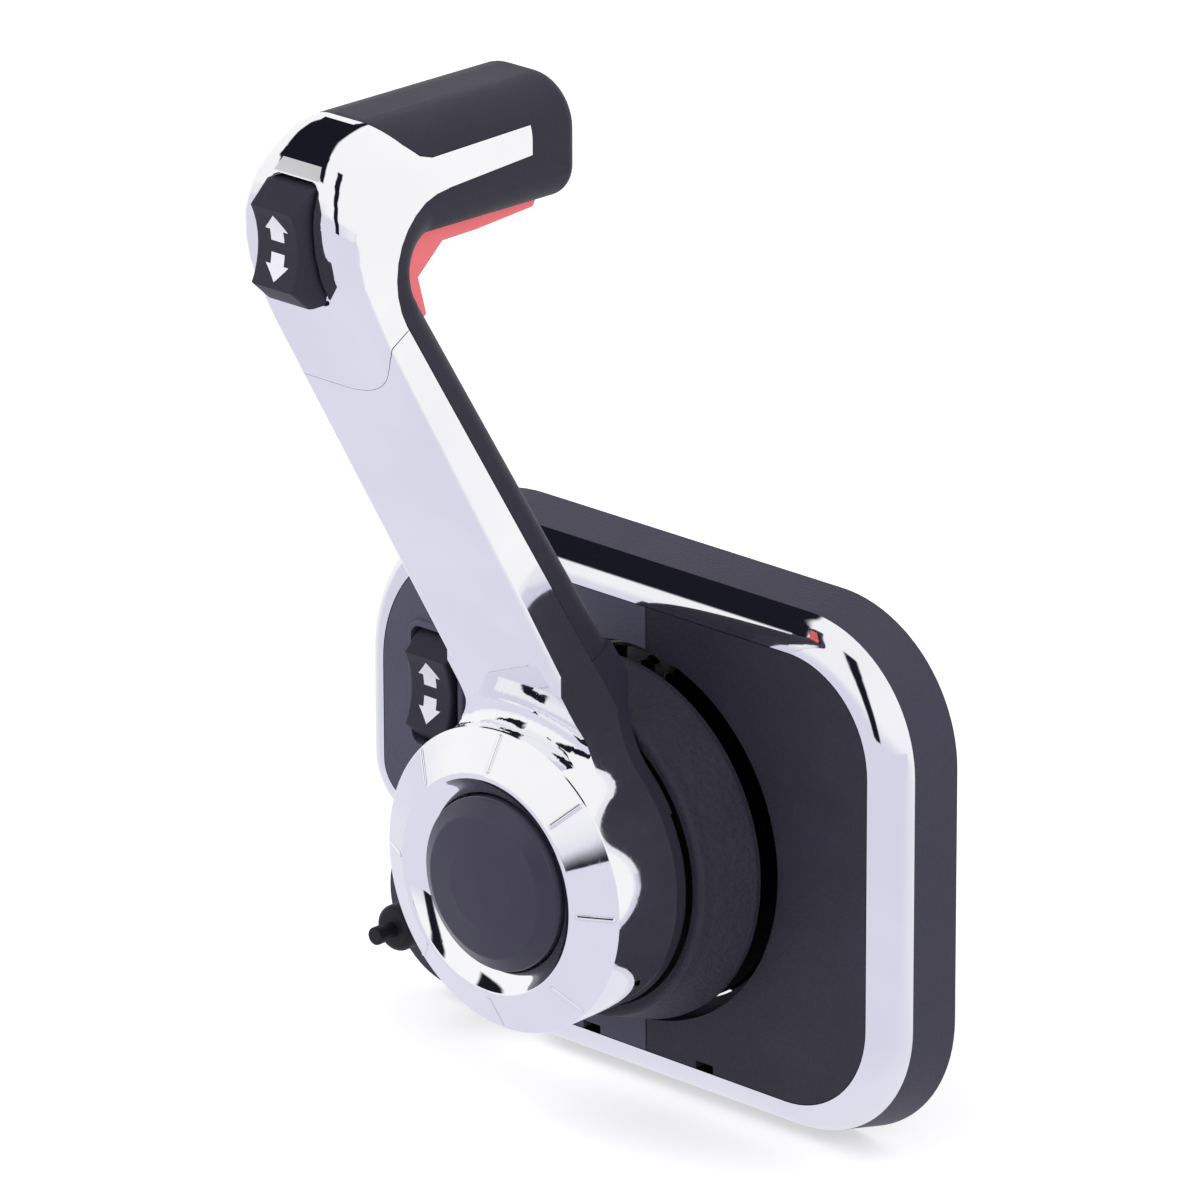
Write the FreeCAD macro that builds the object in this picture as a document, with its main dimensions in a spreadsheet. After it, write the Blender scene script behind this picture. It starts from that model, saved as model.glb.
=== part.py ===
import FreeCAD, Part
import math
import os

import Sketcher
from FreeCAD import Rotation, Vector

# Boat throttle control for a side panel. Millimetres.
# X runs along the panel, Z is up, Y goes into the panel. The origin is the
# point where the lever's pivot axis (along Y) meets the mounting face Y = 0.
# The lever stands upright at rest and leans out of the panel by lean_angle.

DIMENSIONS = [
    # Base, chrome trim and face
    ("base_depth", 20.6), ("face_width", 168.0), ("face_height", 121.0),
    ("face_shift_x", -3.6), ("face_shift_z", 1.2), ("corner_left", 38.0), ("corner_right", 27.0),
    ("notch_fillet", 10.0), ("trim_width", 8.8), ("trim_depth", 7.9), ("trim_ledge", 2.5),
    ("base_flare", 2.8), ("base_wall", 3.0), ("deck_thickness", 2.5), ("face_thickness", 3.0),
    ("face_gap", 0.25), ("opening_gap", 10.5), ("pry_slot_width", 6.0), ("pry_slot_height", 2.4),
    ("pry_slot_left", -13.8), ("pry_slot_right", 25.5), ("crease_place", 5.0), ("crease_width", 0.5),
    ("crease_depth", 0.3), ("mount_spacing_x", 118.0), ("mount_spacing_z", 104.0),
    ("mount_shift_x", 7.0), ("mount_shift_z", 1.0), ("mount_hole_radius", 2.6), ("mount_boss_radius", 5.0),
    # Lanyard stop switch
    ("stop_place_x", -72.2), ("stop_place_z", -43.4), ("stop_boss_radius", 21.5), ("stop_barrel_radius", 6.2),
    ("stop_reach", 13.4), ("stop_pin_radius", 2.0), ("stop_head_radius", 2.4), ("stop_head_length", 2.5),
    ("stop_pin_reach", 6.5), ("stop_neck_radius", 5.0), ("stop_flange_radius", 9.0),
    ("stop_body_length", 12.0), ("stop_nut_radius", 8.5), ("stop_nut_length", 3.5),
    # Rocker switches
    ("rocker_width", 15.0), ("rocker_half_height", 15.0), ("rocker_ridge_height", 9.9),
    ("rocker_reach", 9.0), ("rocker_dish", 2.4), ("rocker_window_gap", 0.8), ("rocker_pin_radius", 1.0),
    ("rocker_tongue_width", 5.4), ("panel_rocker_x", -68.0), ("panel_rocker_z", 20.5),
    ("panel_rocker_proud", 5.0), ("window_rim_width", 1.6), ("window_rim_height", 1.2),
    # Hub, front ring and button
    ("hub_radius", 40.0), ("hub_front", 66.6), ("hub_back", 46.3), ("hub_floor", 52.0), ("hub_wall", 4.0),
    ("rear_ring_thickness", 4.0), ("ring_rim_reach", 0.9), ("ring_width", 11.2), ("dish_reach", 6.6),
    ("dish_width", 5.95), ("button_gap", 0.75), ("button_edge", 4.25), ("button_bevel", 2.9),
    ("button_dome", 2.0), ("button_shoulder", 71.6), ("button_flange", 1.4), ("button_wall", 3.0),
    ("spring_inset", 6.85), ("ring_spigot_length", 5.0), ("tick_count", 8), ("tick_radius", 0.7),
    ("tick_inset", 1.8), ("tick_rim", 1.4),
    # Lever arm
    ("lean_angle", 30.0), ("arm_width", 39.2), ("arm_front_at_axis", 35.5), ("arm_root", 60.0),
    ("arm_tip", 175.0), ("elbow_start", 184.6), ("arm_root_depth", 20.8), ("arm_tip_depth", 16.8),
    ("chrome_root_depth", 13.0), ("chrome_tip_depth", 9.5), ("arm_edge_radius", 3.0), ("arm_back_radius", 4.0),
    ("neck_fillet", 25.0), ("hub_blend", 4.5), ("shell_gap", 0.15),
    # Elbow cap and grip
    ("elbow_front", 140.0), ("elbow_edge_radius", 5.0), ("elbow_bend_low", 40.0), ("grip_top", 213.0),
    ("elbow_bend_high", 21.4), ("grip_height", 30.6), ("inner_bend", 9.0), ("grip_width", 35.2),
    ("grip_end", 57.0), ("grip_end_round", 4.0), ("grip_top_radius", 13.0), ("grip_bottom_radius", 9.0),
    ("grip_droop", 1.4), ("chrome_bend", 20.0), ("spear_drop", 9.3), ("spear_height", 7.5),
    ("spear_lip", 1.4), ("spear_end", 73.5), ("spear_depth", 2.2), ("cap_joint_setback", 14.5),
    ("cap_joint_run", 9.5), ("cap_joint_rise", 4.6), ("cap_seam_place", 165.5), ("cap_seam_radius", 22.0),
    ("cap_seam_shift", -2.0), ("cap_gap", 0.12), ("handle_rocker_drop", 27.2),
    # Neutral release
    ("release_width", 18.0), ("release_travel", 4.0), ("release_slot_gap", 0.4), ("release_rod_radius", 1.6),
    ("release_channel_radius", 2.3), ("release_rod_offset", 13.2), ("release_rod_low", 50.0),
    ("release_rod_high", 188.5), ("release_foot", 172.5), ("release_foot_width", 4.4),
    # Collar behind the hub
    ("collar_front", 41.2), ("collar_gap", 0.6), ("collar_lip_width", 2.8), ("collar_back", 24.6),
    ("collar_spread", 5.0), ("collar_wall", 3.5), ("collar_web_front", 30.0), ("collar_web_back", 27.0),
    # Mechanism housing and its shafts
    ("boss_radius", 28.0), ("spigot_radius", 24.0), ("spigot_front", 30.0), ("disc_margin", 7.0),
    ("disc_front", 15.0), ("disc_gap", 0.6), ("flange_thickness", 4.0), ("gear_room", 4.9),
    ("housing_low", -40.0), ("housing_high", 27.0), ("housing_back", 30.0), ("housing_wall", 3.0),
    ("housing_corner", 30.0), ("housing_screw_inset", 4.0), ("cover_thickness", 4.0),
    ("cover_screw_inset", 5.0), ("cover_screw_low_x", 14.0), ("cover_boss", 2.0), ("shaft_radius", 8.0),
    ("bush_wall", 3.0), ("running_gap", 0.05), ("bush_flange", 2.0), ("side_shaft_radius", 5.0),
    ("side_shaft_angle", 20.0), ("gear_module", 1.5), ("drive_teeth", 14), ("side_teeth", 28),
    ("gear_width", 8.0), ("gear_front", 8.0), ("gear_backlash", 0.4), ("pressure_angle", 25.0),
    ("arm_length", 38.0), ("arm_thickness", 3.0), ("arm_eye_radius", 6.0), ("arm_hub_radius", 9.0),
    ("arm_gap", 3.0), ("nut_radius", 6.5), ("nut_length", 4.0), ("ball_radius", 3.5), ("stud_length", 7.5),
    ("lug_hole_radius", 2.4), ("lug_height", 44.0), ("lug_place_x", 2.6),
    ("lug_radius", 4.6), ("bracket_reach", 62.0), ("bracket_thickness", 2.5), ("bracket_height", 16.0),
    ("cable_slot_radius", 4.0), ("screw_radius", 2.0), ("screw_head_radius", 3.6), ("screw_head_height", 2.4),
]

# Sizes that follow from the driving ones
DERIVED = [
    ("opening_radius", "=hub_radius + opening_gap"),
    ("ring_spigot_radius", "=hub_radius - hub_wall"),
    ("dish_radius", "=hub_radius - ring_width"),
    ("button_radius", "=dish_radius - dish_width"),
    ("button_face_radius", "=button_radius - button_edge"),
    ("button_spring_radius", "=button_radius - button_wall - spring_inset"),
    ("tick_inner", "=dish_radius + tick_inset"),
    ("tick_outer", "=hub_radius - tick_rim"),
    ("collar_lip_inner", "=hub_radius + collar_gap"),
    ("collar_lip_outer", "=collar_lip_inner + collar_lip_width"),
    ("collar_back_radius", "=collar_lip_outer + collar_spread"),
    ("disc_radius", "=hub_radius + disc_margin"),
    ("grip_bottom", "=grip_top - grip_height"),
    ("grip_end_bottom", "=grip_bottom - grip_droop"),
    ("spear_top", "=grip_top - spear_drop"),
    ("spear_bottom", "=spear_top - spear_height"),
    ("spear_root", "=spear_bottom - spear_lip"),
    ("cap_joint_top", "=elbow_front - cap_joint_setback"),
    ("cap_joint_low", "=cap_joint_top - cap_joint_run"),
    ("cap_joint_height", "=spear_top + cap_joint_rise"),
    ("handle_rocker_z", "=grip_top - handle_rocker_drop"),
    ("side_shaft_place", "=(drive_teeth + side_teeth) * gear_module / 2 * cos(side_shaft_angle)"),
    ("housing_half_width", "=side_shaft_place + (side_teeth / 2 + 1) * gear_module + gear_room"),
]

document = FreeCAD.newDocument("throttle_control")
sheet = document.addObject("Spreadsheet::Sheet", "sizes")
for row, (alias, content) in enumerate(DIMENSIONS + DERIVED, start=1):
    sheet.set(f"A{row}", alias)
    sheet.set(f"B{row}", str(content))
    sheet.setAlias(f"B{row}", alias)
document.recompute()


class Sizes:
    """The sheet's numbers under their own names."""

    def __init__(self, source):
        for name, _ in DIMENSIONS + DERIVED:
            setattr(self, name, float(source.get(name)))


size = Sizes(sheet)
PIECES = []


def keep(piece):
    """List a finished sub-part, which is written out at the end."""
    PIECES.append(piece)
    return piece


# Helpers for parametric pieces

def bind(target, settings):
    """Bind properties to expressions on the sheet."""
    for name, expression in settings.items():
        target.setExpression(name, expression)


def cylinder(label, radius, length, place=("0", "0", "0"), along="Y"):
    """A Part cylinder that starts at place and runs along +X, +Y or +Z."""
    piece = document.addObject("Part::Cylinder", label)
    turns = {"X": Rotation(Vector(0, 1, 0), 90), "Y": Rotation(Vector(1, 0, 0), -90), "Z": Rotation()}
    piece.Placement = FreeCAD.Placement(Vector(), turns[along])
    bind(piece, {"Radius": radius, "Height": length, "Placement.Base.x": place[0],
                 "Placement.Base.y": place[1], "Placement.Base.z": place[2]})
    return piece


def block(label, lengths, place):
    """A Part box with expression lengths and corner."""
    piece = document.addObject("Part::Box", label)
    bind(piece, {"Length": lengths[0], "Width": lengths[1], "Height": lengths[2],
                 "Placement.Base.x": place[0], "Placement.Base.y": place[1], "Placement.Base.z": place[2]})
    return piece


def joined(label, pieces):
    """Fuse several objects."""
    piece = document.addObject("Part::MultiFuse", label)
    piece.Shapes = pieces
    return piece


def carved(label, base, tools):
    """Cut several objects from one."""
    tool = tools[0]
    if len(tools) > 1:
        tool = joined(label + "_tools", tools)
    piece = document.addObject("Part::Cut", label)
    piece.Base = base
    piece.Tool = tool
    return piece


def new_body(label, place=("0", "0", "0")):
    """A PartDesign body placed by expressions."""
    body = document.addObject("PartDesign::Body", label)
    bind(body, {"Placement.Base.x": place[0], "Placement.Base.y": place[1], "Placement.Base.z": place[2]})
    return body


def sketch_on(body, name, role, offset=None):
    """A sketch on one of the body's own origin planes."""
    sketch = body.newObject("Sketcher::SketchObject", name)
    plane = [item for item in body.Origin.OriginFeatures if item.Role == role][0]
    sketch.AttachmentSupport = [(plane, "")]
    sketch.MapMode = "FlatFace"
    if offset:
        sketch.setExpression("AttachmentOffset.Base.z", offset)
    return sketch


def polygon(sketch, corners):
    """A closed outline whose every corner is held by two bound constraints."""
    count = len(corners)
    seeds = [Vector(10 * math.cos(2 * math.pi * i / count), 10 * math.sin(2 * math.pi * i / count), 0)
             for i in range(count)]
    for i in range(count):
        sketch.addGeometry(Part.LineSegment(seeds[i], seeds[(i + 1) % count]), False)
    for i in range(count):
        sketch.addConstraint(Sketcher.Constraint("Coincident", i, 2, (i + 1) % count, 1))
    for i, corner in enumerate(corners):
        for kind, expression, seed in (("DistanceX", corner[0], seeds[i].x), ("DistanceY", corner[1], seeds[i].y)):
            index = sketch.addConstraint(Sketcher.Constraint(kind, -1, 1, i, 1, seed))
            sketch.setExpression(f"Constraints[{index}]", expression)


def round_hole(sketch, place, radius):
    """A bound circle in a sketch."""
    index = sketch.addGeometry(Part.Circle(Vector(1, 1, 0), Vector(0, 0, 1), 1), False)
    rules = [("DistanceX", place[0]), ("DistanceY", place[1])]
    for kind, expression in rules:
        rule = sketch.addConstraint(Sketcher.Constraint(kind, -1, 1, index, 3, 1))
        sketch.setExpression(f"Constraints[{rule}]", expression)
    rule = sketch.addConstraint(Sketcher.Constraint("Radius", index, 1))
    sketch.setExpression(f"Constraints[{rule}]", radius)


def turned(label, corners, place=("0", "0", "0"), smooth=None):
    """A body turned about its own Y axis from a profile of (radius, Y) corners."""
    body = new_body(label, place)
    sketch = sketch_on(body, label + "_profile", "XY_Plane")
    polygon(sketch, corners)
    turn = body.newObject("PartDesign::Revolution", label + "_turn")
    turn.Profile = sketch
    turn.ReferenceAxis = (sketch, ["V_Axis"])
    turn.Angle = 360
    sketch.Visibility = False
    document.recompute()
    if smooth:
        round_edges(body, turn, *smooth)
    return body


def round_edges(body, feature, radius, chosen):
    """Fillet the edges of a feature that pass a test."""
    names = [f"Edge{i + 1}" for i, edge in enumerate(feature.Shape.Edges) if chosen(edge)]
    fillet = body.newObject("PartDesign::Fillet", body.Label + "_round")
    fillet.Base = (feature, names)
    fillet.setExpression("Radius", radius)
    body.Tip = fillet
    document.recompute()
    return fillet


def ring_edge(radius, depth):
    """A test for the circular edge of this radius at this Y."""
    def passes(edge):
        curve = edge.Curve
        if not isinstance(curve, Part.Circle):
            return False
        return abs(curve.Radius - radius) < 0.01 and abs(curve.Center.y - depth) < 0.01
    return passes


def feature(label, shape):
    """A piece whose shape is worked out from the sheet in this script."""
    piece = document.addObject("Part::Feature", label)
    piece.Shape = shape
    return piece


# Helpers for worked out shapes

def prism_xz(points, low, high):
    """A straight prism along Y from corner points (x, z)."""
    wire = Part.makePolygon([Vector(x, low, z) for x, z in points + points[:1]])
    return Part.Face(wire).extrude(Vector(0, high - low, 0))


def prism_yz(points, half_width, shift=0.0):
    """A straight prism along X from corner points (y, z)."""
    wire = Part.makePolygon([Vector(shift - half_width, y, z) for y, z in points + points[:1]])
    return Part.Face(wire).extrude(Vector(2 * half_width, 0, 0))


def rod(radius, start, end):
    """A cylinder between two points."""
    direction = end - start
    return Part.makeCylinder(radius, direction.Length, start, direction)


def rod_y(radius, x, z, low, high):
    """A cylinder along Y."""
    return rod(radius, Vector(x, low, z), Vector(x, high, z))


def arc_points(centre, radius, start, end, steps):
    """Points on an arc in a plane, angles in degrees."""
    angles = [math.radians(start + (end - start) * i / steps) for i in range(steps + 1)]
    return [(centre[0] + radius * math.cos(a), centre[1] + radius * math.sin(a)) for a in angles]


def rounded_block(x_span, y_span, z_span, radius):
    """A box whose edges along Y are rounded."""
    box = Part.makeBox(x_span[1] - x_span[0], y_span[1] - y_span[0], z_span[1] - z_span[0],
                       Vector(x_span[0], y_span[0], z_span[0]))
    upright = [edge for edge in box.Edges if abs(edge.tangentAt(edge.FirstParameter).y) > 0.9]
    return box.makeFillet(radius, upright)


def screw(x, z, head_front, length, direction=1):
    """A round headed screw along Y: the head's outer face is at head_front."""
    head = rod_y(size.screw_head_radius, x, z, head_front, head_front + direction * size.screw_head_height)
    under = head_front + direction * size.screw_head_height
    shank = rod_y(size.screw_radius, x, z, under, under + direction * length)
    return head.fuse(shank).removeSplitter()


# Plate outline: a rounded rectangle whose lower left corner is cut round the stop switch

def plate_outline(offset, depth):
    """The face's outline grown by offset, as a wire in the plane Y = depth."""
    left = size.face_shift_x - size.face_width / 2
    right = size.face_shift_x + size.face_width / 2
    low = size.face_shift_z - size.face_height / 2
    high = size.face_shift_z + size.face_height / 2
    fillet = size.notch_fillet
    notch = size.stop_boss_radius + size.trim_width
    reach = notch + fillet
    stop = (size.stop_place_x, size.stop_place_z)
    upper = (left + fillet, stop[1] + math.sqrt(reach ** 2 - (left + fillet - stop[0]) ** 2))
    lower = (stop[0] + math.sqrt(reach ** 2 - (low + fillet - stop[1]) ** 2), low + fillet)

    def angle_to(centre):
        return math.degrees(math.atan2(stop[1] - centre[1], stop[0] - centre[0]))

    arcs = [
        ((left + size.corner_left, high - size.corner_left), size.corner_left + offset, 180, 90),
        ((right - size.corner_right, high - size.corner_right), size.corner_right + offset, 90, 0),
        ((right - size.corner_right, low + size.corner_right), size.corner_right + offset, 0, -90),
        (lower, fillet + offset, 270, angle_to(lower) % 360),
        (stop, notch - offset, angle_to(lower) % 360 - 180, angle_to(upper) % 360 - 180),
        (upper, fillet + offset, angle_to(upper) % 360, 180),
    ]
    edges = []
    previous = None
    first = None
    for centre, radius, start, end in arcs:
        points = [Vector(x, depth, z) for x, z in arc_points(centre, radius, start, end, 2)]
        if previous is not None and previous.distanceToPoint(points[0]) > 0.001:
            edges.append(Part.LineSegment(previous, points[0]).toShape())
        first = first or points[0]
        edges.append(Part.Arc(*points).toShape())
        previous = points[2]
    edges.append(Part.LineSegment(previous, first).toShape())
    return Part.Wire(edges)


def plate_slab(offset, low, high):
    """The outline grown by offset, filled and extruded from Y low to Y high."""
    return Part.Face(plate_outline(offset, low)).extrude(Vector(0, high - low, 0))


def mount_places():
    """Centres of the four panel screws, as (x, z)."""
    return [(size.mount_shift_x + i * size.mount_spacing_x / 2, size.mount_shift_z + k * size.mount_spacing_z / 2)
            for i in (-1, 1) for k in (-1, 1)]


FACE = -size.base_depth
FACE_BACK = FACE + size.face_thickness
DECK = FACE + size.trim_depth
DECK_BACK = DECK + size.deck_thickness
STOP_FACE = DECK + 1.1
WINDOW_HALF_WIDTH = size.rocker_width / 2 + size.rocker_window_gap
WINDOW_HALF_HEIGHT = size.rocker_half_height + size.rocker_window_gap + 0.4


def make_base_frame():
    """Black flared frame: walls, a deck behind the trim, screw bosses and the stop switch's boss."""
    outer = Part.makeLoft([plate_outline(size.trim_width, DECK),
                           plate_outline(size.trim_width + size.base_flare, 0)], True, True)
    stop = Vector(size.stop_place_x, STOP_FACE, size.stop_place_z)
    boss = Part.makeCone(size.stop_boss_radius + 1, size.stop_boss_radius + size.base_flare, -STOP_FACE,
                         stop, Vector(0, 1, 0))
    body = outer.fuse(boss)
    body = body.cut(plate_slab(size.trim_width - size.base_wall, DECK_BACK, 1))
    hollow = rod_y(size.stop_boss_radius - size.base_wall, stop.x, stop.z, STOP_FACE + size.deck_thickness, 1)
    body = body.cut(hollow)
    for x, z in mount_places():
        body = body.fuse(rod_y(size.mount_boss_radius, x, z, DECK, 0))
    for x, z in mount_places():
        body = body.cut(rod_y(size.mount_hole_radius, x, z, DECK - 1, 1))
    body = body.cut(rod_y(size.disc_radius + size.disc_gap, 0, 0, DECK - 1, DECK_BACK + 1))
    body = body.cut(rod_y(size.stop_neck_radius, stop.x, stop.z, STOP_FACE - 1, 0))
    window = rounded_block((size.panel_rocker_x - WINDOW_HALF_WIDTH, size.panel_rocker_x + WINDOW_HALF_WIDTH),
                           (DECK - 1, DECK_BACK + 1),
                           (size.panel_rocker_z - WINDOW_HALF_HEIGHT, size.panel_rocker_z + WINDOW_HALF_HEIGHT), 3)
    body = body.cut(window)
    for x, z in housing_screw_places():
        body = body.cut(rod_y(size.screw_radius, x, z, DECK - 1, DECK_BACK + 1))
    return body.removeSplitter()


def make_trim_ring():
    """Chrome bevel swept round the face, with a ledge that the face cover rests on."""
    centre = (0.0, DECK)
    curve = arc_points(centre, 1.0, -90, 0, 2)
    front = [Vector(size.trim_width * x, DECK + size.trim_depth * (y - DECK), 0) for x, y in curve]
    inner = -size.trim_ledge
    corners = [Vector(size.trim_width, DECK, 0), Vector(inner, DECK, 0), Vector(inner, FACE_BACK, 0),
               Vector(0, FACE_BACK, 0), Vector(0, FACE, 0)]
    start = plate_outline(0, FACE).Vertexes[0].Point
    profile_edges = [Part.makePolygon(corners)]
    bulge = Vector(front[1].x * 0.94, front[1].y + 0.5, 0)
    profile_edges.append(Part.Wire([Part.Arc(corners[-1], bulge, corners[0]).toShape()]))
    profile = Part.Wire([edge for wire in profile_edges for edge in wire.Edges])
    # The path starts on the straight left side, where outwards is -X
    placed = profile.copy()
    placed.transformShape(FreeCAD.Placement(Vector(start.x, 0, start.z), Rotation(Vector(0, 1, 0), 180)).toMatrix())
    return plate_outline(0, FACE).makePipeShell([placed], True, False, 2)


def make_face_cover():
    """Grained cover with the hub opening, rocker window with raised rim, pry slots and crease."""
    body = plate_slab(-size.face_gap, FACE, FACE_BACK)
    body = body.cut(rod_y(size.opening_radius, 0, 0, FACE - 1, FACE_BACK + 1))
    spans = []
    for grow in (size.window_rim_width, 0):
        spans.append(((size.panel_rocker_x - WINDOW_HALF_WIDTH - grow, size.panel_rocker_x + WINDOW_HALF_WIDTH + grow),
                      (size.panel_rocker_z - WINDOW_HALF_HEIGHT - grow,
                       size.panel_rocker_z + WINDOW_HALF_HEIGHT + grow)))
    rim = rounded_block(spans[0][0], (FACE - size.window_rim_height, FACE_BACK), spans[0][1], 4.5)
    front = [edge for edge in rim.Edges if edge.CenterOfMass.y < FACE - size.window_rim_height + 0.01]
    rim = rim.makeFillet(size.window_rim_height * 0.8, front)
    window = rounded_block(spans[1][0], (FACE - 3, FACE_BACK + 1), spans[1][1], 3)
    body = body.fuse(rim).cut(window)
    low = size.face_shift_z - size.face_height / 2
    for x in (size.pry_slot_left, size.pry_slot_right):
        body = body.cut(Part.makeBox(size.pry_slot_width, size.face_thickness + 2, size.pry_slot_height + 1,
                                     Vector(x - size.pry_slot_width / 2, FACE - 1, low - 1)))
    crease = Part.makeBox(size.crease_width, size.crease_depth + 1, size.face_height + 2,
                          Vector(size.crease_place, FACE - 1, low - 1))
    return body.cut(crease).removeSplitter()


# Mechanism housing behind the panel

def side_shafts():
    """Centres of the shift and throttle shafts, as (x, z)."""
    reach = size.gear_module * (size.drive_teeth + size.side_teeth) / 2
    turn = math.radians(size.side_shaft_angle)
    return [(-reach * math.cos(turn), -reach * math.sin(turn)), (reach * math.cos(turn), -reach * math.sin(turn))]


def housing_screw_places():
    """Screws that hold the housing's flange to the deck."""
    inset = size.housing_screw_inset
    places = ((size.housing_half_width - inset, -2 * inset), (size.housing_half_width - inset - 3, 18.0))
    return [(i * x, z) for i in (-1, 1) for x, z in places]


def cover_screw_places():
    """Screws that hold the rear cover."""
    inset = size.cover_screw_inset
    reach = size.housing_corner - inset
    x = size.housing_half_width - size.housing_corner + reach * math.cos(math.radians(60))
    z = size.housing_high - size.housing_corner + reach * math.sin(math.radians(60))
    places = ((x, z), (size.cover_screw_low_x, size.housing_low + inset))
    return [(i * x, z) for i in (-1, 1) for x, z in places]


def collar_screw_places():
    """Three screws that hold the collar to the boss."""
    reach = (size.boss_radius + size.spigot_radius) / 2 + 0.4
    return [(reach * math.cos(math.radians(a)), reach * math.sin(math.radians(a))) for a in (90, 210, 330)]


def make_main_housing():
    """Die cast housing: front disc and boss, flange, walls, bearing bores and the lug with its hole."""
    flange_back = DECK_BACK + size.flange_thickness
    body = rounded_block((-size.housing_half_width, size.housing_half_width), (DECK_BACK, flange_back),
                         (size.housing_low, size.housing_high + 8), size.housing_corner)
    shell = rounded_block((-size.housing_half_width, size.housing_half_width),
                          (flange_back, size.housing_back),
                          (size.housing_low, size.housing_high), size.housing_corner)
    body = body.fuse(shell)
    body = body.fuse(rod_y(size.disc_radius, 0, 0, -size.disc_front, flange_back))
    body = body.fuse(rod_y(size.boss_radius, 0, 0, -size.collar_web_back, -size.disc_front))
    body = body.fuse(rod_y(size.spigot_radius, 0, 0, -size.spigot_front, -size.collar_web_back))
    for x, z in ((size.lug_place_x, size.lug_height - 3), (size.lug_place_x + 14, size.lug_height - 8)):
        body = body.fuse(rod_y(size.lug_radius, x, z, -size.disc_front - 2, -size.disc_front))
    for turn in (15, 45, 75, 120, 165):
        rib = Part.makeBox(size.disc_radius - size.boss_radius, 5, 2.0, Vector(size.boss_radius - 0.5, -20, -1))
        rib.rotate(Vector(), Vector(0, 1, 0), -turn)
        body = body.fuse(rib)
    wall = size.housing_wall
    cavity = rounded_block((-size.housing_half_width + wall, size.housing_half_width - wall),
                           (size.gear_front - 1.5, size.housing_back + 1),
                           (size.housing_low + wall, size.housing_high - wall), size.housing_corner - wall)
    pillars = [rod_y(4.5, x, z, size.gear_front - 1.5, size.housing_back) for x, z in cover_screw_places()]
    for pillar in pillars:
        cavity = cavity.cut(pillar)
    body = body.cut(cavity)
    body = body.cut(rod_y(size.shaft_radius + size.bush_wall, 0, 0, -size.spigot_front - 1, size.gear_front))
    for x, z in side_shafts():
        body = body.cut(rod_y(size.side_shaft_radius + size.running_gap, x, z, size.gear_front - 8, size.gear_front))
    for x, z in cover_screw_places():
        body = body.cut(rod_y(size.screw_radius, x, z, size.housing_back - 10, size.housing_back + 1))
    for x, z in housing_screw_places():
        body = body.cut(rod_y(size.screw_radius, x, z, DECK_BACK - 1, flange_back + 1))
    for x, z in collar_screw_places():
        body = body.cut(rod_y(size.screw_radius, x, z, -size.collar_web_back - 5, -size.collar_web_back + 8))
    lug = rod_y(size.lug_hole_radius, size.lug_place_x, size.lug_height - 3, -size.disc_front - 3, DECK_BACK + 1)
    body = body.cut(lug)
    return body.removeSplitter()


def make_rear_cover():
    """Cover of the housing with ribs and the three bearing bosses."""
    low = size.housing_back
    high = low + size.cover_thickness
    body = rounded_block((-size.housing_half_width, size.housing_half_width), (low, high),
                         (size.housing_low, size.housing_high), size.housing_corner)
    centres = side_shafts() + [(0, 0)]
    radii = [size.side_shaft_radius, size.side_shaft_radius, size.shaft_radius + size.bush_wall]
    for (x, z), radius in zip(centres, radii):
        body = body.fuse(rod_y(radius + 3.5, x, z, low - 4, high + size.cover_boss))
    for (x0, z0), (x1, z1) in ((centres[0], centres[2]), (centres[2], centres[1])):
        span = Vector(x1 - x0, 0, z1 - z0)
        rib = Part.makeBox(span.Length, 2.0, 2.5, Vector(0, high, -1.25))
        rib.rotate(Vector(), Vector(0, 1, 0), -math.degrees(math.atan2(span.z, span.x)))
        rib.translate(Vector(x0, 0, z0))
        body = body.fuse(rib)
    gaps = [size.running_gap, size.running_gap, 0]
    for (x, z), radius, gap in zip(centres, radii, gaps):
        body = body.cut(rod_y(radius + gap, x, z, low - 5, high + 3))
    for x, z in cover_screw_places():
        body = body.cut(rod_y(size.screw_radius, x, z, low - 1, high + 1))
    return body.removeSplitter()


def gear(teeth, centre, phase):
    """A straight gear with involute flanks; phase turns it, in degrees."""
    pitch = size.gear_module * teeth / 2
    pressure = math.radians(size.pressure_angle)
    base = pitch * math.cos(pressure)
    outer = pitch + 0.9 * size.gear_module
    root = pitch - 1.2 * size.gear_module
    tooth_angle = 2 * math.pi / teeth
    half_pitch = tooth_angle / 4 - size.gear_backlash / (2 * pitch)

    def flank(radius):
        roll = math.acos(min(1.0, base / radius))
        return half_pitch - ((math.tan(roll) - roll) - (math.tan(pressure) - pressure))

    start = max(base, root + 0.2)
    radii = [start + (outer - start) * i / 3 for i in range(4)]
    points = []
    for tooth in range(teeth):
        middle = math.radians(phase) + tooth * tooth_angle
        rising = [(r, middle - flank(r)) for r in radii]
        falling = [(r, middle + flank(r)) for r in reversed(radii)]
        foot = flank(start)
        for radius, angle in [(root, middle - foot)] + rising + falling + [(root, middle + foot)]:
            points.append((centre[0] + radius * math.cos(angle), centre[1] + radius * math.sin(angle)))
    return prism_xz(points, size.gear_front, size.gear_front + size.gear_width)


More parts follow.
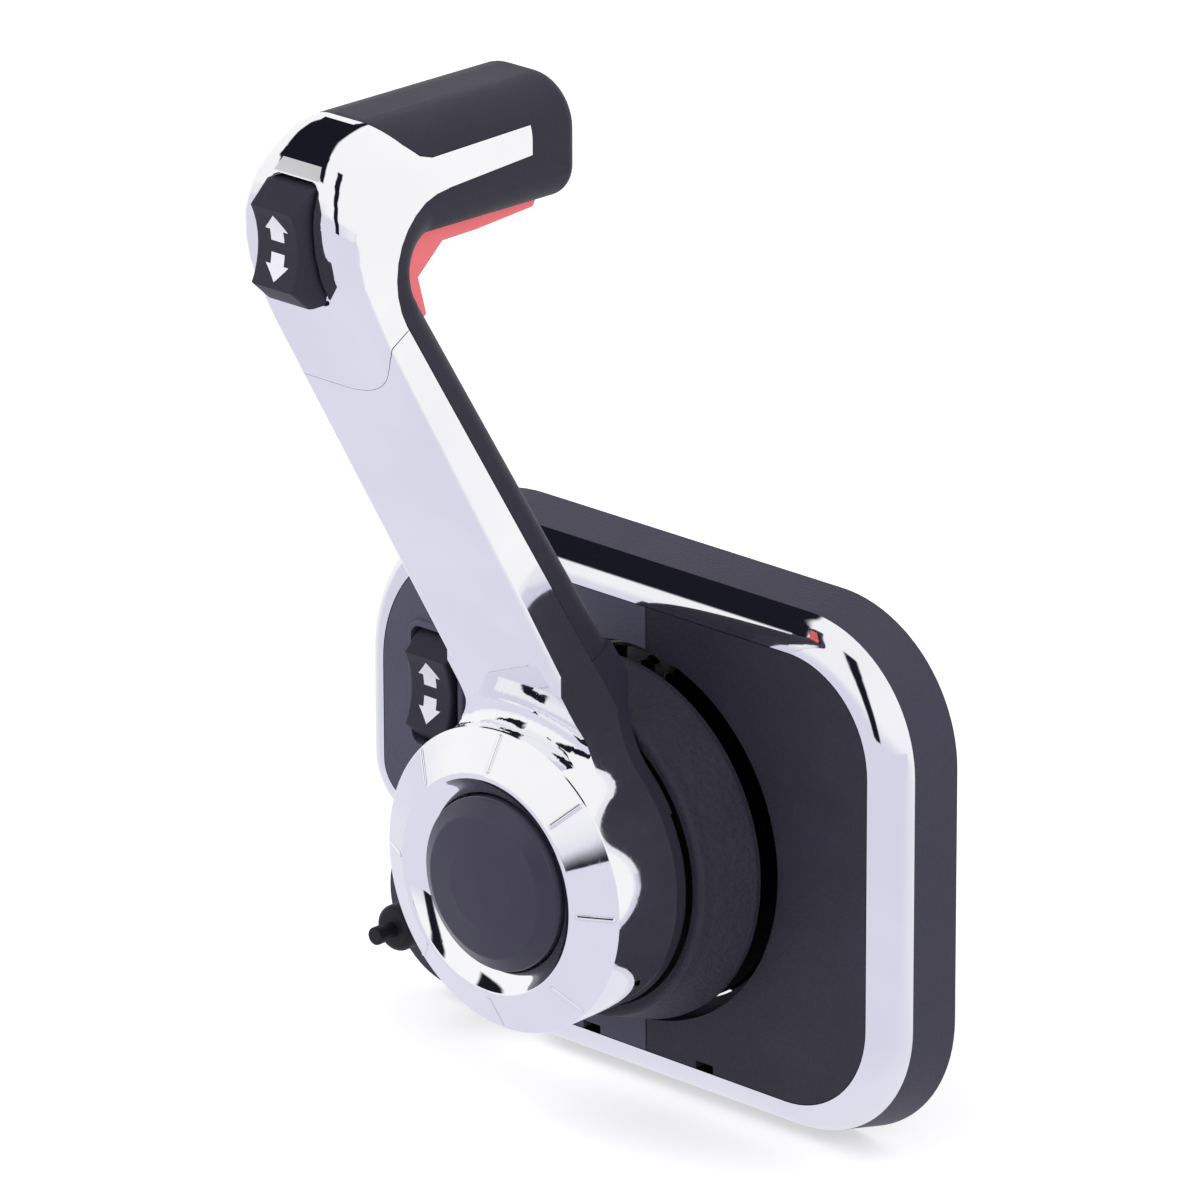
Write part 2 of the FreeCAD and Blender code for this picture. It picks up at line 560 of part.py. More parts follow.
def make_gears():
    """The drive pinion on the main shaft and the two gears that it turns."""
    drive = gear(int(size.drive_teeth), (0, 0), 0).cut(rod_y(size.shaft_radius, 0, 0, 0, 40))
    keep(feature("drive_pinion", drive))
    # At rest each meshing line holds a pinion tooth opposite a gap of the side gear
    for name, (x, z) in zip(("shift_gear", "throttle_gear"), side_shafts()):
        line = math.degrees(math.atan2(z, x))
        pinion_pitch = 360 / size.drive_teeth
        side_pitch = 360 / size.side_teeth
        lead = line % pinion_pitch
        phase = line + 180 + side_pitch / 2 + lead * size.drive_teeth / size.side_teeth
        wheel = gear(int(size.side_teeth), (x, z), phase)
        wheel = wheel.cut(rod_y(size.side_shaft_radius, x, z, 0, 40))
        keep(feature(name, wheel))


def make_side_output(name, place, up):
    """Shaft, arm with its ball stud, and nut of one output of the mechanism."""
    x, z = place
    cover_back = size.housing_back + size.cover_thickness
    arm_front = cover_back + size.arm_gap + size.bracket_thickness
    arm_back = arm_front + size.arm_thickness
    shaft = rod_y(size.side_shaft_radius, x, z, size.gear_front - 7, arm_front)
    shaft = shaft.fuse(rod_y(size.side_shaft_radius - 1.5, x, z, arm_front, arm_back + size.nut_length + 1.5))
    keep(feature(name + "_shaft", shaft.removeSplitter()))
    tip = z + up * size.arm_length
    hub = rod_y(size.arm_hub_radius, x, z, arm_front, arm_back)
    eye = rod_y(size.arm_eye_radius, x, tip, arm_front, arm_back)
    sides = [(x - size.arm_hub_radius, z), (x + size.arm_hub_radius, z),
             (x + size.arm_eye_radius, tip), (x - size.arm_eye_radius, tip)]
    arm = prism_xz(sides, arm_front, arm_back).fuse([hub, eye])
    arm = arm.fuse(ball_stud(x, tip, arm_back))
    arm = arm.cut(rod_y(size.side_shaft_radius - 1.5, x, z, arm_front - 1, arm_back + 1))
    keep(feature(name + "_arm", arm.removeSplitter()))
    sides = [(x + px, z + pz) for px, pz in arc_points((0, 0), size.nut_radius, 0, 300, 5)]
    nut = prism_xz(sides, arm_back, arm_back + size.nut_length)
    keep(feature(name + "_nut", nut.cut(rod_y(size.side_shaft_radius - 1.5, x, z, arm_back - 1, arm_back + 9))))


def ball_stud(x, z, seat):
    """Stud with a ball end that stands on the plane Y = seat."""
    radius = size.ball_radius
    neck = 0.7 * radius
    centre = seat + size.stud_length
    base = Vector(x + neck, seat, z)
    under = Vector(x + neck, centre - math.sqrt(radius ** 2 - neck ** 2), z)
    ball = Part.Arc(under, Vector(x + radius, centre, z), Vector(x, centre + radius, z)).toShape()
    outline = Part.Wire([Part.makeLine(Vector(x, seat, z), base), Part.makeLine(base, under), ball,
                         Part.makeLine(Vector(x, centre + radius, z), Vector(x, seat, z))])
    return Part.Face(outline).revolve(Vector(x, 0, z), Vector(0, 1, 0), 360)


def make_cable_bracket():
    """Bent plate on the rear cover that anchors the two cables beside the housing, on the notched side."""
    low = size.housing_back + size.cover_thickness
    thick = size.bracket_thickness
    lap = 7.0
    inner = cover_screw_places()[2][0] - lap
    reach = size.bracket_reach
    shafts = side_shafts()
    heights = (shafts[0][1] + size.arm_length, shafts[1][1] - size.arm_length)
    ends = 10.0
    foot = Part.makeBox(reach - inner, thick, size.housing_high - size.housing_low,
                        Vector(-reach, low, size.housing_low))
    wall = Part.makeBox(thick, size.bracket_height, heights[0] - heights[1] + 2 * ends,
                        Vector(-reach, low, heights[1] - ends))
    side = size.cover_screw_low_x - lap + 1
    strip = Part.makeBox(reach - side, thick, 2 * size.cover_screw_inset, Vector(-reach, low, size.housing_low))
    body = foot.fuse([wall, strip])
    ball_depth = low + size.arm_gap + thick + size.arm_thickness + size.stud_length
    for z in heights:
        slot = rod(size.cable_slot_radius, Vector(-reach - thick, ball_depth, z),
                   Vector(-reach + 2 * thick, ball_depth, z))
        way = Part.makeBox(3 * thick, size.bracket_height, 2 * size.cable_slot_radius,
                           Vector(-reach - thick, ball_depth, z - size.cable_slot_radius))
        body = body.cut(slot.fuse(way))
    for x, z in cover_screw_places():
        body = body.cut(rod_y(size.screw_radius, x, z, low - 1, low + thick + 1))
    # The plate is cut away round the shift shaft's boss and arm
    body = body.cut(rod_y(size.arm_hub_radius + 2, shafts[0][0], shafts[0][1], low - 1, low + thick + 1))
    return body.removeSplitter()


def make_fasteners():
    """The groups of identical screws."""
    cover_back = size.housing_back + size.cover_thickness
    thick = size.bracket_thickness
    screws = []
    for x, z in cover_screw_places():
        seat = cover_back + (thick if x < 0 else 0)
        screws.append(screw(x, z, seat + size.screw_head_height, seat - size.housing_back + 8, -1))
    keep(feature("cover_screws", Part.makeCompound(screws)))
    screws = [screw(x, z, DECK - size.screw_head_height, size.deck_thickness + size.flange_thickness)
              for x, z in housing_screw_places()]
    keep(feature("housing_screws", Part.makeCompound(screws)))
    screws = [screw(x, z, -size.collar_web_front - size.screw_head_height, 9.0) for x, z in collar_screw_places()]
    keep(feature("collar_screws", Part.makeCompound(screws)))


# Small fixed pieces on the mechanism

def make_mechanism_details():
    """Bushes, detent, friction screw and the start-in-neutral switch."""
    for name, low, high, flange in (("front_bushing", "-sizes.spigot_front", "-sizes.disc_front", "-1"),
                                    ("rear_bushing", "sizes.housing_back - 4",
                                     "sizes.housing_back + sizes.cover_thickness + sizes.cover_boss", "-1")):
        bore = "sizes.shaft_radius + sizes.running_gap"
        wall = "sizes.shaft_radius + sizes.bush_wall"
        lip = f"({low}) + ({flange}) * sizes.bush_flange"
        rim = "sizes.shaft_radius + sizes.bush_wall + 2"
        keep(turned(name, [(bore, high), (wall, high), (wall, low), (rim, low), (rim, lip), (bore, lip)]))
    top = size.housing_high
    reach = size.gear_module * size.drive_teeth / 2 + size.gear_module + 1.5
    barrel = rod(4.0, Vector(0, 20, top), Vector(0, 20, top + 12))
    pin = rod(1.8, Vector(0, 12, reach + 4), Vector(0, 12, top - size.housing_wall))
    ball = Part.makeSphere(1.8, Vector(0, 12, reach + 4))
    keep(feature("detent_plunger", pin.fuse(ball).removeSplitter()))
    keep(feature("friction_screw", make_knurled_knob(barrel, top)))
    switch = Part.makeBox(20, 11, 9, Vector(-42, 12, top))
    switch = switch.makeFillet(0.8, [edge for edge in switch.Edges if edge.CenterOfMass.z > top + 8.9])
    for x in (-38, -32, -26):
        switch = switch.fuse(Part.makeBox(0.8, 3.0, 6.0, Vector(x, 16, top + 8.5)))
    keep(feature("neutral_switch", switch))


def make_knurled_knob(barrel, top):
    """Friction adjuster: a threaded barrel with a slotted knob."""
    knob = rod(6.5, Vector(0, 20, top + 12), Vector(0, 20, top + 18))
    for step in range(12):
        angle = math.radians(30 * step)
        x = 6.9 * math.cos(angle)
        y = 20 + 6.9 * math.sin(angle)
        knob = knob.cut(rod(0.9, Vector(x, y, top + 11), Vector(x, y, top + 19)))
    knob = knob.cut(Part.makeBox(14, 1.4, 1.6, Vector(-7, 19.3, top + 16.5)))
    return barrel.fuse(knob).removeSplitter()


# Lever: one master form for the handle is split into chrome and black pieces

LEAN = math.radians(size.lean_angle)
ALONG = (-math.sin(LEAN), math.cos(LEAN))
INWARD = (math.cos(LEAN), math.sin(LEAN))


def on_arm(reach, depth=0.0):
    """Side view point (y, z) at a distance along the arm and a depth behind its front."""
    return (-size.arm_front_at_axis + reach * ALONG[0] + depth * INWARD[0], reach * ALONG[1] + depth * INWARD[1])


def arm_depth(reach, root, tip):
    """Depth of the arm at a distance along it, tapering from root to tip."""
    share = (reach - size.arm_root) / (size.arm_tip - size.arm_root)
    return root + (tip - root) * share


def back_point(reach):
    return on_arm(reach, arm_depth(reach, size.arm_root_depth, size.arm_tip_depth))


def seam_point(reach):
    return on_arm(reach, arm_depth(reach, size.chrome_root_depth, size.chrome_tip_depth))


def tangent_circle(point, direction, side, height, radius):
    """Centre of the circle that touches a line and the horizontal line z = height from below."""
    normal = (direction[1] * side, -direction[0] * side)
    z = height - radius
    y = point[0] + (radius - (z - point[1]) * normal[1]) / normal[0]
    return (y, z)


def unit(start, end):
    length = math.hypot(end[0] - start[0], end[1] - start[1])
    return ((end[0] - start[0]) / length, (end[1] - start[1]) / length)


BACK_RUN = unit(back_point(size.arm_root), back_point(size.arm_tip))
SEAM_RUN = unit(seam_point(size.arm_root), seam_point(size.arm_tip))
INNER_CENTRE = tangent_circle(back_point(size.arm_tip), BACK_RUN, 1, size.grip_bottom, size.inner_bend)
CHROME_CENTRE = tangent_circle(seam_point(size.arm_tip), SEAM_RUN, 1, size.spear_root, size.chrome_bend)


def outer_elbow(turn):
    """Point on the outside of the elbow after a turn in degrees from the arm's direction."""
    first = size.lean_angle
    high_centre = (-size.elbow_front + size.elbow_bend_high, size.grip_top - size.elbow_bend_high)
    low_centre = (-size.elbow_front + size.elbow_bend_low, high_centre[1])
    if turn <= first:
        angle = math.radians(180 + first - turn)
        return (low_centre[0] + size.elbow_bend_low * math.cos(angle),
                low_centre[1] + size.elbow_bend_low * math.sin(angle))
    angle = math.radians(180 + first - turn)
    return (high_centre[0] + size.elbow_bend_high * math.cos(angle),
            high_centre[1] + size.elbow_bend_high * math.sin(angle))


def inner_elbow(turn):
    """Point on the inside of the elbow after the same turn."""
    share = turn / (90 + size.lean_angle)
    start = 180 - math.degrees(math.atan2(BACK_RUN[0], BACK_RUN[1]))
    angle = math.radians(start + (90 - start) * share)
    return (INNER_CENTRE[0] + size.inner_bend * math.cos(angle), INNER_CENTRE[1] + size.inner_bend * math.sin(angle))


def section(outer, inner, width, outer_radius, inner_radius):
    """Rounded rectangle across the handle from its outer to its inner side view point."""
    run = Vector(0, inner[0] - outer[0], inner[1] - outer[1])
    depth = run.Length
    run.normalize()
    start = Vector(0, outer[0], outer[1])
    half = width / 2

    def place(x, v):
        return start + run * v + Vector(x, 0, 0)

    edges = []
    corners = [(half, 0, outer_radius, -45), (half, depth, inner_radius, 45),
               (-half, depth, inner_radius, 135), (-half, 0, outer_radius, 225)]
    arcs = []
    for x, v, radius, middle in corners:
        centre = (x - math.copysign(radius, x), v + (radius if v == 0 else -radius))
        points = [place(*p) for p in arc_points(centre, radius, middle - 45, middle + 45, 2)]
        arcs.append(points)
    for index, points in enumerate(arcs):
        edges.append(Part.Arc(*points).toShape())
        edges.append(Part.LineSegment(points[2], arcs[(index + 1) % 4][0]).toShape())
    return Part.Wire(edges)


def make_handle_top():
    """Solid form of the elbow and the grip."""
    sections = [section(on_arm(size.elbow_start), back_point(size.elbow_start), size.arm_width,
                        size.arm_edge_radius, size.arm_back_radius)]
    sweep = 90 + size.lean_angle
    steps = 12
    for step in range(steps + 1):
        share = step / steps
        turn = sweep * share
        width = size.arm_width + (size.grip_width - size.arm_width) * share
        rise = min(1.0, share * 1.5)
        outer_radius = size.elbow_edge_radius + (size.grip_top_radius - size.elbow_edge_radius) * rise
        inner_radius = size.arm_back_radius + (size.grip_bottom_radius - size.arm_back_radius) * share
        sections.append(section(outer_elbow(turn), inner_elbow(turn), width, outer_radius, inner_radius))
    sections.append(section((-size.grip_end, size.grip_top - 0.8), (-size.grip_end, size.grip_end_bottom),
                            size.grip_width - 0.4, size.grip_top_radius, size.grip_bottom_radius))
    handle = Part.makeLoft(sections, True, True)
    rims = [edge for edge in handle.Edges if edge.BoundBox.YMin > -size.grip_end - 0.01]
    return handle.makeFillet(size.grip_end_round, rims)


def cap_region(grow):
    """Side view prism of the chrome elbow; grow moves its black side seams outwards."""
    seam = [seam_point(size.arm_tip - 20)]
    low = 180 - math.degrees(math.atan2(SEAM_RUN[0], SEAM_RUN[1]))
    curve = arc_points(CHROME_CENTRE, size.chrome_bend - grow, low, 90, 10)
    joint = [(CHROME_CENTRE[0] + 1.5 * grow, size.spear_root),
             (-size.cap_joint_low + 8.0 + grow, size.spear_top + grow),
             (-size.cap_joint_low + 4.0 + grow, size.spear_top + 1.2 + grow),
             (-size.cap_joint_low + grow, size.cap_joint_height + grow * 0.5),
             (-size.cap_joint_top + grow, size.grip_top + 6)]
    outside = [(-size.elbow_front - 20, size.grip_top + 6), (-size.elbow_front - 20, on_arm(size.arm_tip - 20)[1])]
    shift = (grow * SEAM_RUN[1], -grow * SEAM_RUN[0])
    seam = [(y + shift[0], z + shift[1]) for y, z in seam]
    return prism_yz(seam + curve + joint + outside, size.arm_width)


def spear_region(grow):
    """The spears on both sides of the grip."""
    points = [(CHROME_CENTRE[0] - 2, size.spear_root - grow), (-size.spear_end + grow, size.spear_bottom - grow),
              (-size.spear_end + grow, size.spear_top + grow), (-size.cap_joint_low, size.spear_top + grow)]
    depth = size.spear_depth + grow
    place = size.grip_width / 2 - depth + 5
    return prism_yz(points, 5, place).fuse(prism_yz(points, 5, -place))


def seam_prism(grow):
    """Everything above the seam between the arm and the elbow cap, seen square to the arm's front."""
    radius = size.cap_seam_radius
    centre = (size.cap_seam_shift, size.cap_seam_place + radius)
    curve = arc_points(centre, radius + grow, -90, -8, 10)
    outline = [(-30, size.cap_seam_place - grow)] + curve + [(40, curve[-1][1] + 2), (40, 330), (-30, 330)]
    points = []
    for x, reach in outline:
        y, z = on_arm(reach, -40)
        points.append(Vector(x, y, z))
    wire = Part.makePolygon(points + points[:1])
    return Part.Face(wire).extrude(Vector(0, 110 * INWARD[0], 110 * INWARD[1]))


def keyhole_outline(depth, top):
    """Hub circle joined by two concave fillets to the straight sides of the arm, in the plane Y = depth."""
    half = size.arm_width / 2
    fillet = size.neck_fillet
    height = math.sqrt((size.hub_radius + fillet) ** 2 - (half + fillet) ** 2)
    turn = math.degrees(math.atan2(height, half + fillet))
    right = [Vector(x, depth, z) for x, z in arc_points((half + fillet, height), fillet, 180 + turn, 180, 2)]
    left = [Vector(-p.x, p.y, p.z) for p in right]
    corners = [Vector(half, depth, top), Vector(-half, depth, top)]
    edges = [Part.Arc(*right).toShape(), Part.LineSegment(right[2], corners[0]).toShape(),
             Part.LineSegment(*corners).toShape(), Part.LineSegment(corners[1], left[2]).toShape(),
             Part.Arc(*reversed(left)).toShape(),
             Part.Arc(left[0], Vector(0, depth, -size.hub_radius), right[0]).toShape()]
    return Part.Face(Part.Wire(edges))


def before_arm(low, high):
    """The space in front of the arm's front face between two distances along it."""
    start = on_arm(low)
    end = on_arm(high)
    return prism_yz([start, end, (-400, end[1]), (-400, start[1])], 2 * size.hub_radius)


def make_chrome_arm():
    """Chrome part of the arm and hub before the elbow cap is parted off."""
    back = -size.hub_back
    top = back_point(size.elbow_start)[1] + 1
    arm = keyhole_outline(-200, top).extrude(Vector(0, 210, 0)).cut(before_arm(-80, 300))
    rims = [edge for edge in arm.Edges
            if all(on_face(vertex.Point) < 0.01 for vertex in edge.Vertexes) and edge.CenterOfMass.z < top - 1]
    arm = arm.makeFillet(size.arm_edge_radius, rims).fuse(hub_blend(top))
    low = size.arm_root - 25
    behind = [seam_point(low), seam_point(size.arm_tip + 20), (60, 260), (60, seam_point(low)[1])]
    arm = arm.cut(prism_yz(behind, 2 * size.hub_radius))
    arm = arm.cut(prism_yz([(back, -60), (back, seam_point(size.arm_tip)[1]), (60, 200), (60, -60)], 60))
    end = size.elbow_start
    arm = arm.cut(prism_yz([on_arm(end, -40), on_arm(end, 40), on_arm(end + 60, 40), on_arm(end + 60, -40)], 60))
    hub = rod_y(size.hub_radius, 0, 0, -size.hub_front, back)
    return arm.fuse(hub).removeSplitter()


def hub_blend(top):
    """Concave rounding between the front of the arm and the top of the hub."""
    air = before_arm(12, 110).cut(rod_y(size.hub_radius, 0, 0, -401, 0))
    rims = [edge for edge in air.Edges
            if all(on_face(vertex.Point) < 0.01 for vertex in edge.Vertexes) and edge.BoundBox.XLength > 30
            and abs(math.hypot(edge.Vertexes[0].X, edge.Vertexes[0].Z) - size.hub_radius) < 0.01]
    air = air.makeFillet(size.hub_blend, rims)
    reach = size.hub_radius + 2 * size.hub_blend
    fill = keyhole_outline(-size.hub_front, top).extrude(Vector(0, size.hub_front - size.hub_back, 0))
    fill = fill.common(Part.makeBox(2 * reach, 60, reach, Vector(-reach, -size.hub_front, 10)))
    return fill.cut(air)


def on_face(point):
    """Distance of a point from the plane of the arm's front."""
    return abs((point.y + size.arm_front_at_axis) * INWARD[0] + point.z * INWARD[1])


def release_channel(radius, low, high):
    """The straight way of the release rod inside the arm."""
    start = on_arm(low, size.release_rod_offset)
    end = on_arm(high, size.release_rod_offset)
    return rod(radius, Vector(0, *start), Vector(0, *end))


def behind_arm(reach, distance):
    """Side view point at a distance along the arm and a distance behind its back."""
    return on_arm(reach, arm_depth(reach, size.arm_root_depth, size.arm_tip_depth) + distance)


def release_profile():
    """Side view of the red release bar, from under the grip round the inner corner and down the arm."""
    gap = size.release_slot_gap
    foot = size.release_foot
    under = size.grip_bottom
    return [(-64.8, under - 3.7), (-84.0, under - 4.7), (-96.0, under - 4.7), behind_arm(foot + 9.6, 9.0),
            behind_arm(foot, 6.2), behind_arm(foot, 3.1), behind_arm(foot + 3.0, gap), behind_arm(foot + 14.0, gap),
            behind_arm(foot + 20.0, 5.8), (-105.5, under + 4.1), (-66.0, under + 4.1), (-62.8, under + 0.6)]


def make_release():
    """Red bar with its foot, the rod inside the arm and the return spring."""
    bar = prism_yz(release_profile(), size.release_width / 2)
    low = size.grip_bottom - 3
    visible = [edge for edge in bar.Edges
               if edge.BoundBox.XLength < 0.01 and edge.BoundBox.ZMax < low and edge.Length > 4
               and distance_behind(edge.CenterOfMass) > size.release_slot_gap + 3]
    bar = bar.makeFillet(0.9, visible)
    reach = size.release_rod_high
    depth = size.release_rod_offset
    foot = prism_yz([on_arm(reach - 4, depth - 1.6), on_arm(reach + 1, depth - 1.6),
                     on_arm(reach + 1, depth + 8), on_arm(reach - 4, depth + 8)], size.release_foot_width / 2)
    bar = bar.fuse(foot).cut(release_channel(size.release_rod_radius, size.release_rod_low, reach - 0.5))
    keep(feature("release_bar", bar.removeSplitter()))
    keep(feature("release_rod", release_channel(size.release_rod_radius, size.release_rod_low, reach - 0.5)))
    start = on_arm(110, depth)
    spring = coil(size.release_rod_radius + 0.35, 0.25, 2.4, 6)
    spring.Placement = FreeCAD.Placement(Vector(0, *start), Rotation(Vector(0, 0, 1), Vector(0, *ALONG)))
    keep(feature("release_spring", spring))


def distance_behind(point):
    """Distance of a point behind the arm's back."""
    start = back_point(size.arm_tip)
    return (point.y - start[0]) * BACK_RUN[1] - (point.z - start[1]) * BACK_RUN[0]


def release_slot():
    """Room that the bar needs in the black shell over its travel."""
    under = size.grip_bottom
    foot = size.release_foot
    slot = prism_yz([(-61.5, under - 6), (-61.5, under + 8.2), (-110.0, under + 8.2), behind_arm(foot + 28, 3.5),
                     behind_arm(foot + 17, -1.2), behind_arm(foot + 8, 9.0)],
                    size.release_width / 2 + size.release_slot_gap)
    reach = size.release_rod_high
    depth = size.release_rod_offset
    way = prism_yz([on_arm(reach - 5, depth - 2.3), on_arm(reach + 6, depth - 2.3),
                    on_arm(reach + 6, depth + 9), on_arm(reach - 5, depth + 9)],
                   size.release_foot_width / 2 + size.release_slot_gap)
    return slot.fuse(way)


def coil(radius, wire, pitch, turns):
    """A spring along +Z from its own origin, with a six sided wire in short straight runs."""
    runs = 10
    sections = []
    for step in range(int(runs * turns) + 1):
        turn = 2 * math.pi * step / runs
        across = Vector(math.cos(turn), math.sin(turn), 0)
        centre = across * radius + Vector(0, 0, pitch * step / runs)
        corners = [centre + across * (wire * math.cos(a)) + Vector(0, 0, wire * math.sin(a))
                   for a in [math.pi / 3 * k for k in range(6)]]
        sections.append(Part.makePolygon(corners + corners[:1]))
    return Part.makeLoft(sections, True, True)


def make_handle():
    """All the pieces of the arm and handle."""
    chrome = make_chrome_arm()
    top = make_handle_top()
    cap_top = top.common(cap_region(0)).fuse(top.common(spear_region(0)))
    chrome = chrome.fuse(cap_top).removeSplitter()
    channel = release_channel(size.release_channel_radius, size.release_rod_low - 1.5,
                              size.release_rod_high + size.release_travel + 1)
    pocket = rocker_pocket()
    arm = chrome.cut(seam_prism(size.cap_gap)).cut(channel)
    cap = chrome.common(seam_prism(0)).cut(channel).cut(pocket)
    arm = hollow_hub(arm)
    keep(feature("lever_arm", arm.removeSplitter()))
    keep(feature("elbow_cap", cap.removeSplitter()))
    # The black shell is the rest of the handle top and the back of the arm
    gap = size.shell_gap
    shell = top.cut(cap_region(gap)).cut(spear_region(gap))
    low = size.arm_root + 2
    strip = Part.makeLoft([section(seam_shift(reach, gap), back_point(reach), size.arm_width, 0.3,
                                   size.arm_back_radius) for reach in (low, size.elbow_start)], True, True)
    shell = shell.fuse(strip)
    shell = shell.cut(channel).cut(release_slot())
    shell = shell.cut(rod_y(size.hub_radius + 0.4, 0, 0, -size.hub_back - 30, 0))
    keep(feature("rear_shell", shell.removeSplitter()))


def seam_shift(reach, gap):
    """A point just behind the chrome seam."""
    return on_arm(reach, arm_depth(reach, size.chrome_root_depth, size.chrome_tip_depth) + gap)


def hollow_hub(arm):
    """Bores of the hub: the ring's spigot, the button and the main shaft."""
    arm = arm.cut(rod_y(size.ring_spigot_radius + 0.1, 0, 0, -size.hub_front - 9,
                        -size.hub_front + size.ring_spigot_length + 0.1))
    arm = arm.cut(rod_y(size.button_radius + size.button_gap + 1.3, 0, 0, -size.hub_front - 9, -size.hub_floor))
    return arm.cut(rod_y(size.shaft_radius, 0, 0, -size.hub_floor - 9, -size.hub_back + 1))


def reach_at(line, depth):
    """Distance along the arm at which a straight side view line reaches Y = depth."""
    start = line(0)[0]
    return (depth - start) / (line(1)[0] - start)


def make_hub_rear_ring():
    """Black ring on the back of the hub, with a blunt tongue that fills in behind the chrome arm."""
    front = -size.hub_back
    back = front + size.rear_ring_thickness
    ring = rod_y(size.hub_radius, 0, 0, front, back)
    rims = [edge for edge in ring.Edges if edge.BoundBox.YMin > back - 0.01]
    ring = ring.makeFillet(1.2, rims)
    end = size.arm_root + 2 - size.shell_gap
    low = seam_point(reach_at(seam_point, front))
    high = back_point(reach_at(back_point, back))
    side = [low, seam_shift(end, 0), back_point(end), high, (back, size.hub_radius / 2), (front, size.hub_radius / 2)]
    tongue = keyhole_outline(-70, 90).extrude(Vector(0, 90, 0)).common(prism_yz(side, size.hub_radius))
    channel = release_channel(size.release_channel_radius, size.release_rod_low - 1.5, size.arm_root + 10)
    ring = ring.fuse(tongue).cut(channel)
    return ring.cut(rod_y(size.shaft_radius, 0, 0, front - 1, back + 1)).removeSplitter()


# Hub front: ring with ticks, button and its spring

def make_hub_ring():
    """Chrome front ring: cone with raised ticks, rounded crest and dished inside."""
    front = size.hub_front + size.ring_rim_reach
    crest = front + size.dish_reach - 0.9
    hole = size.button_radius + size.button_gap
    back = size.hub_front - size.ring_spigot_length
    spigot = size.ring_spigot_radius
    wide = size.button_radius + size.button_gap + 1.3
    points = [Vector(size.hub_radius, -size.hub_front, 0), Vector(size.hub_radius, -front + 0.25, 0),
              Vector(size.hub_radius - 0.25, -front, 0), Vector(size.dish_radius + 0.9, -crest, 0)]
    outer = Part.makePolygon(points)
    top = Vector(size.dish_radius, -crest - 0.25, 0)
    crest_end = Vector(size.dish_radius - 0.7, -crest, 0)
    dish_end = Vector(hole, -crest + 3.4, 0)
    dish_middle = Vector((crest_end.x + dish_end.x) / 2 - 0.5, (crest_end.y + dish_end.y) / 2 + 0.7, 0)
    rest = Part.makePolygon([dish_end, Vector(hole, -back - 3.2, 0), Vector(wide, -back - 3.2, 0),
                             Vector(wide, -back, 0), Vector(spigot, -back, 0), Vector(spigot, -size.hub_front, 0),
                             points[0]])
    edges = outer.Edges + [Part.Arc(points[-1], top, crest_end).toShape(),
                           Part.Arc(crest_end, dish_middle, dish_end).toShape()] + rest.Edges
    ring = Part.Face(Part.Wire(edges)).revolve(Vector(), Vector(0, 1, 0), 360)
    slope = (points[3].y - points[2].y) / (points[3].x - points[2].x)
    lift = 0.45 * size.tick_radius
    ends = [Vector(r, points[2].y + slope * (r - points[2].x) + lift, 0) for r in (size.tick_inner, size.tick_outer)]
    tick = rod(size.tick_radius, ends[0], ends[1])
    tick = tick.fuse([Part.makeSphere(size.tick_radius, end) for end in ends]).removeSplitter()
    for step in range(int(size.tick_count)):
        copy = tick.copy()
        copy.rotate(Vector(), Vector(0, 1, 0), 360 / size.tick_count * step)
        ring = ring.fuse(copy)
    return ring.removeSplitter()


def make_button():
    """Throttle-only button: a domed cap with a skirt and a stop flange."""
    shoulder = "-sizes.button_shoulder"
    bevel = "-(sizes.button_shoulder + sizes.button_bevel)"
    crown = "-(sizes.button_shoulder + sizes.button_bevel + sizes.button_dome)"
    inner = "-(sizes.button_shoulder + sizes.button_bevel - sizes.button_wall)"
    rim = "-(sizes.hub_front - sizes.ring_spigot_length + sizes.button_flange + 0.4)"
    back = "-(sizes.hub_front - sizes.ring_spigot_length + 0.4)"
    wide = "sizes.button_radius + sizes.button_flange"
    cavity = "sizes.button_radius - sizes.button_wall"
    body = turned("throttle_button", [
        ("0", crown), ("sizes.button_face_radius * 0.55", f"{crown} + 0.35 * sizes.button_dome"),
        ("sizes.button_face_radius", bevel), ("sizes.button_radius", shoulder), ("sizes.button_radius", rim),
        (wide, rim), (wide, back), (cavity, back), (cavity, inner), ("0", inner)])
    edges = ring_edge(size.button_face_radius, -(size.button_shoulder + size.button_bevel))
    rounded = round_edges(body, body.Tip, "sizes.button_bevel * 0.5", edges)
    round_edges(body, rounded, "sizes.button_bevel * 0.35", ring_edge(size.button_radius, -size.button_shoulder))
    keep(body)


def make_button_spring():
    """Coil between the hub's floor and the inside of the button."""
    low = size.hub_floor
    high = size.button_shoulder + size.button_bevel - size.button_wall
    turns = 4
    wire = 0.9
    spring = coil(size.button_spring_radius, wire, (high - low - 2 * wire) / turns, turns)
    spring.Placement = FreeCAD.Placement(Vector(0, -low - wire, 0), Rotation(Vector(0, 0, 1), Vector(0, -1, 0)))
    return spring


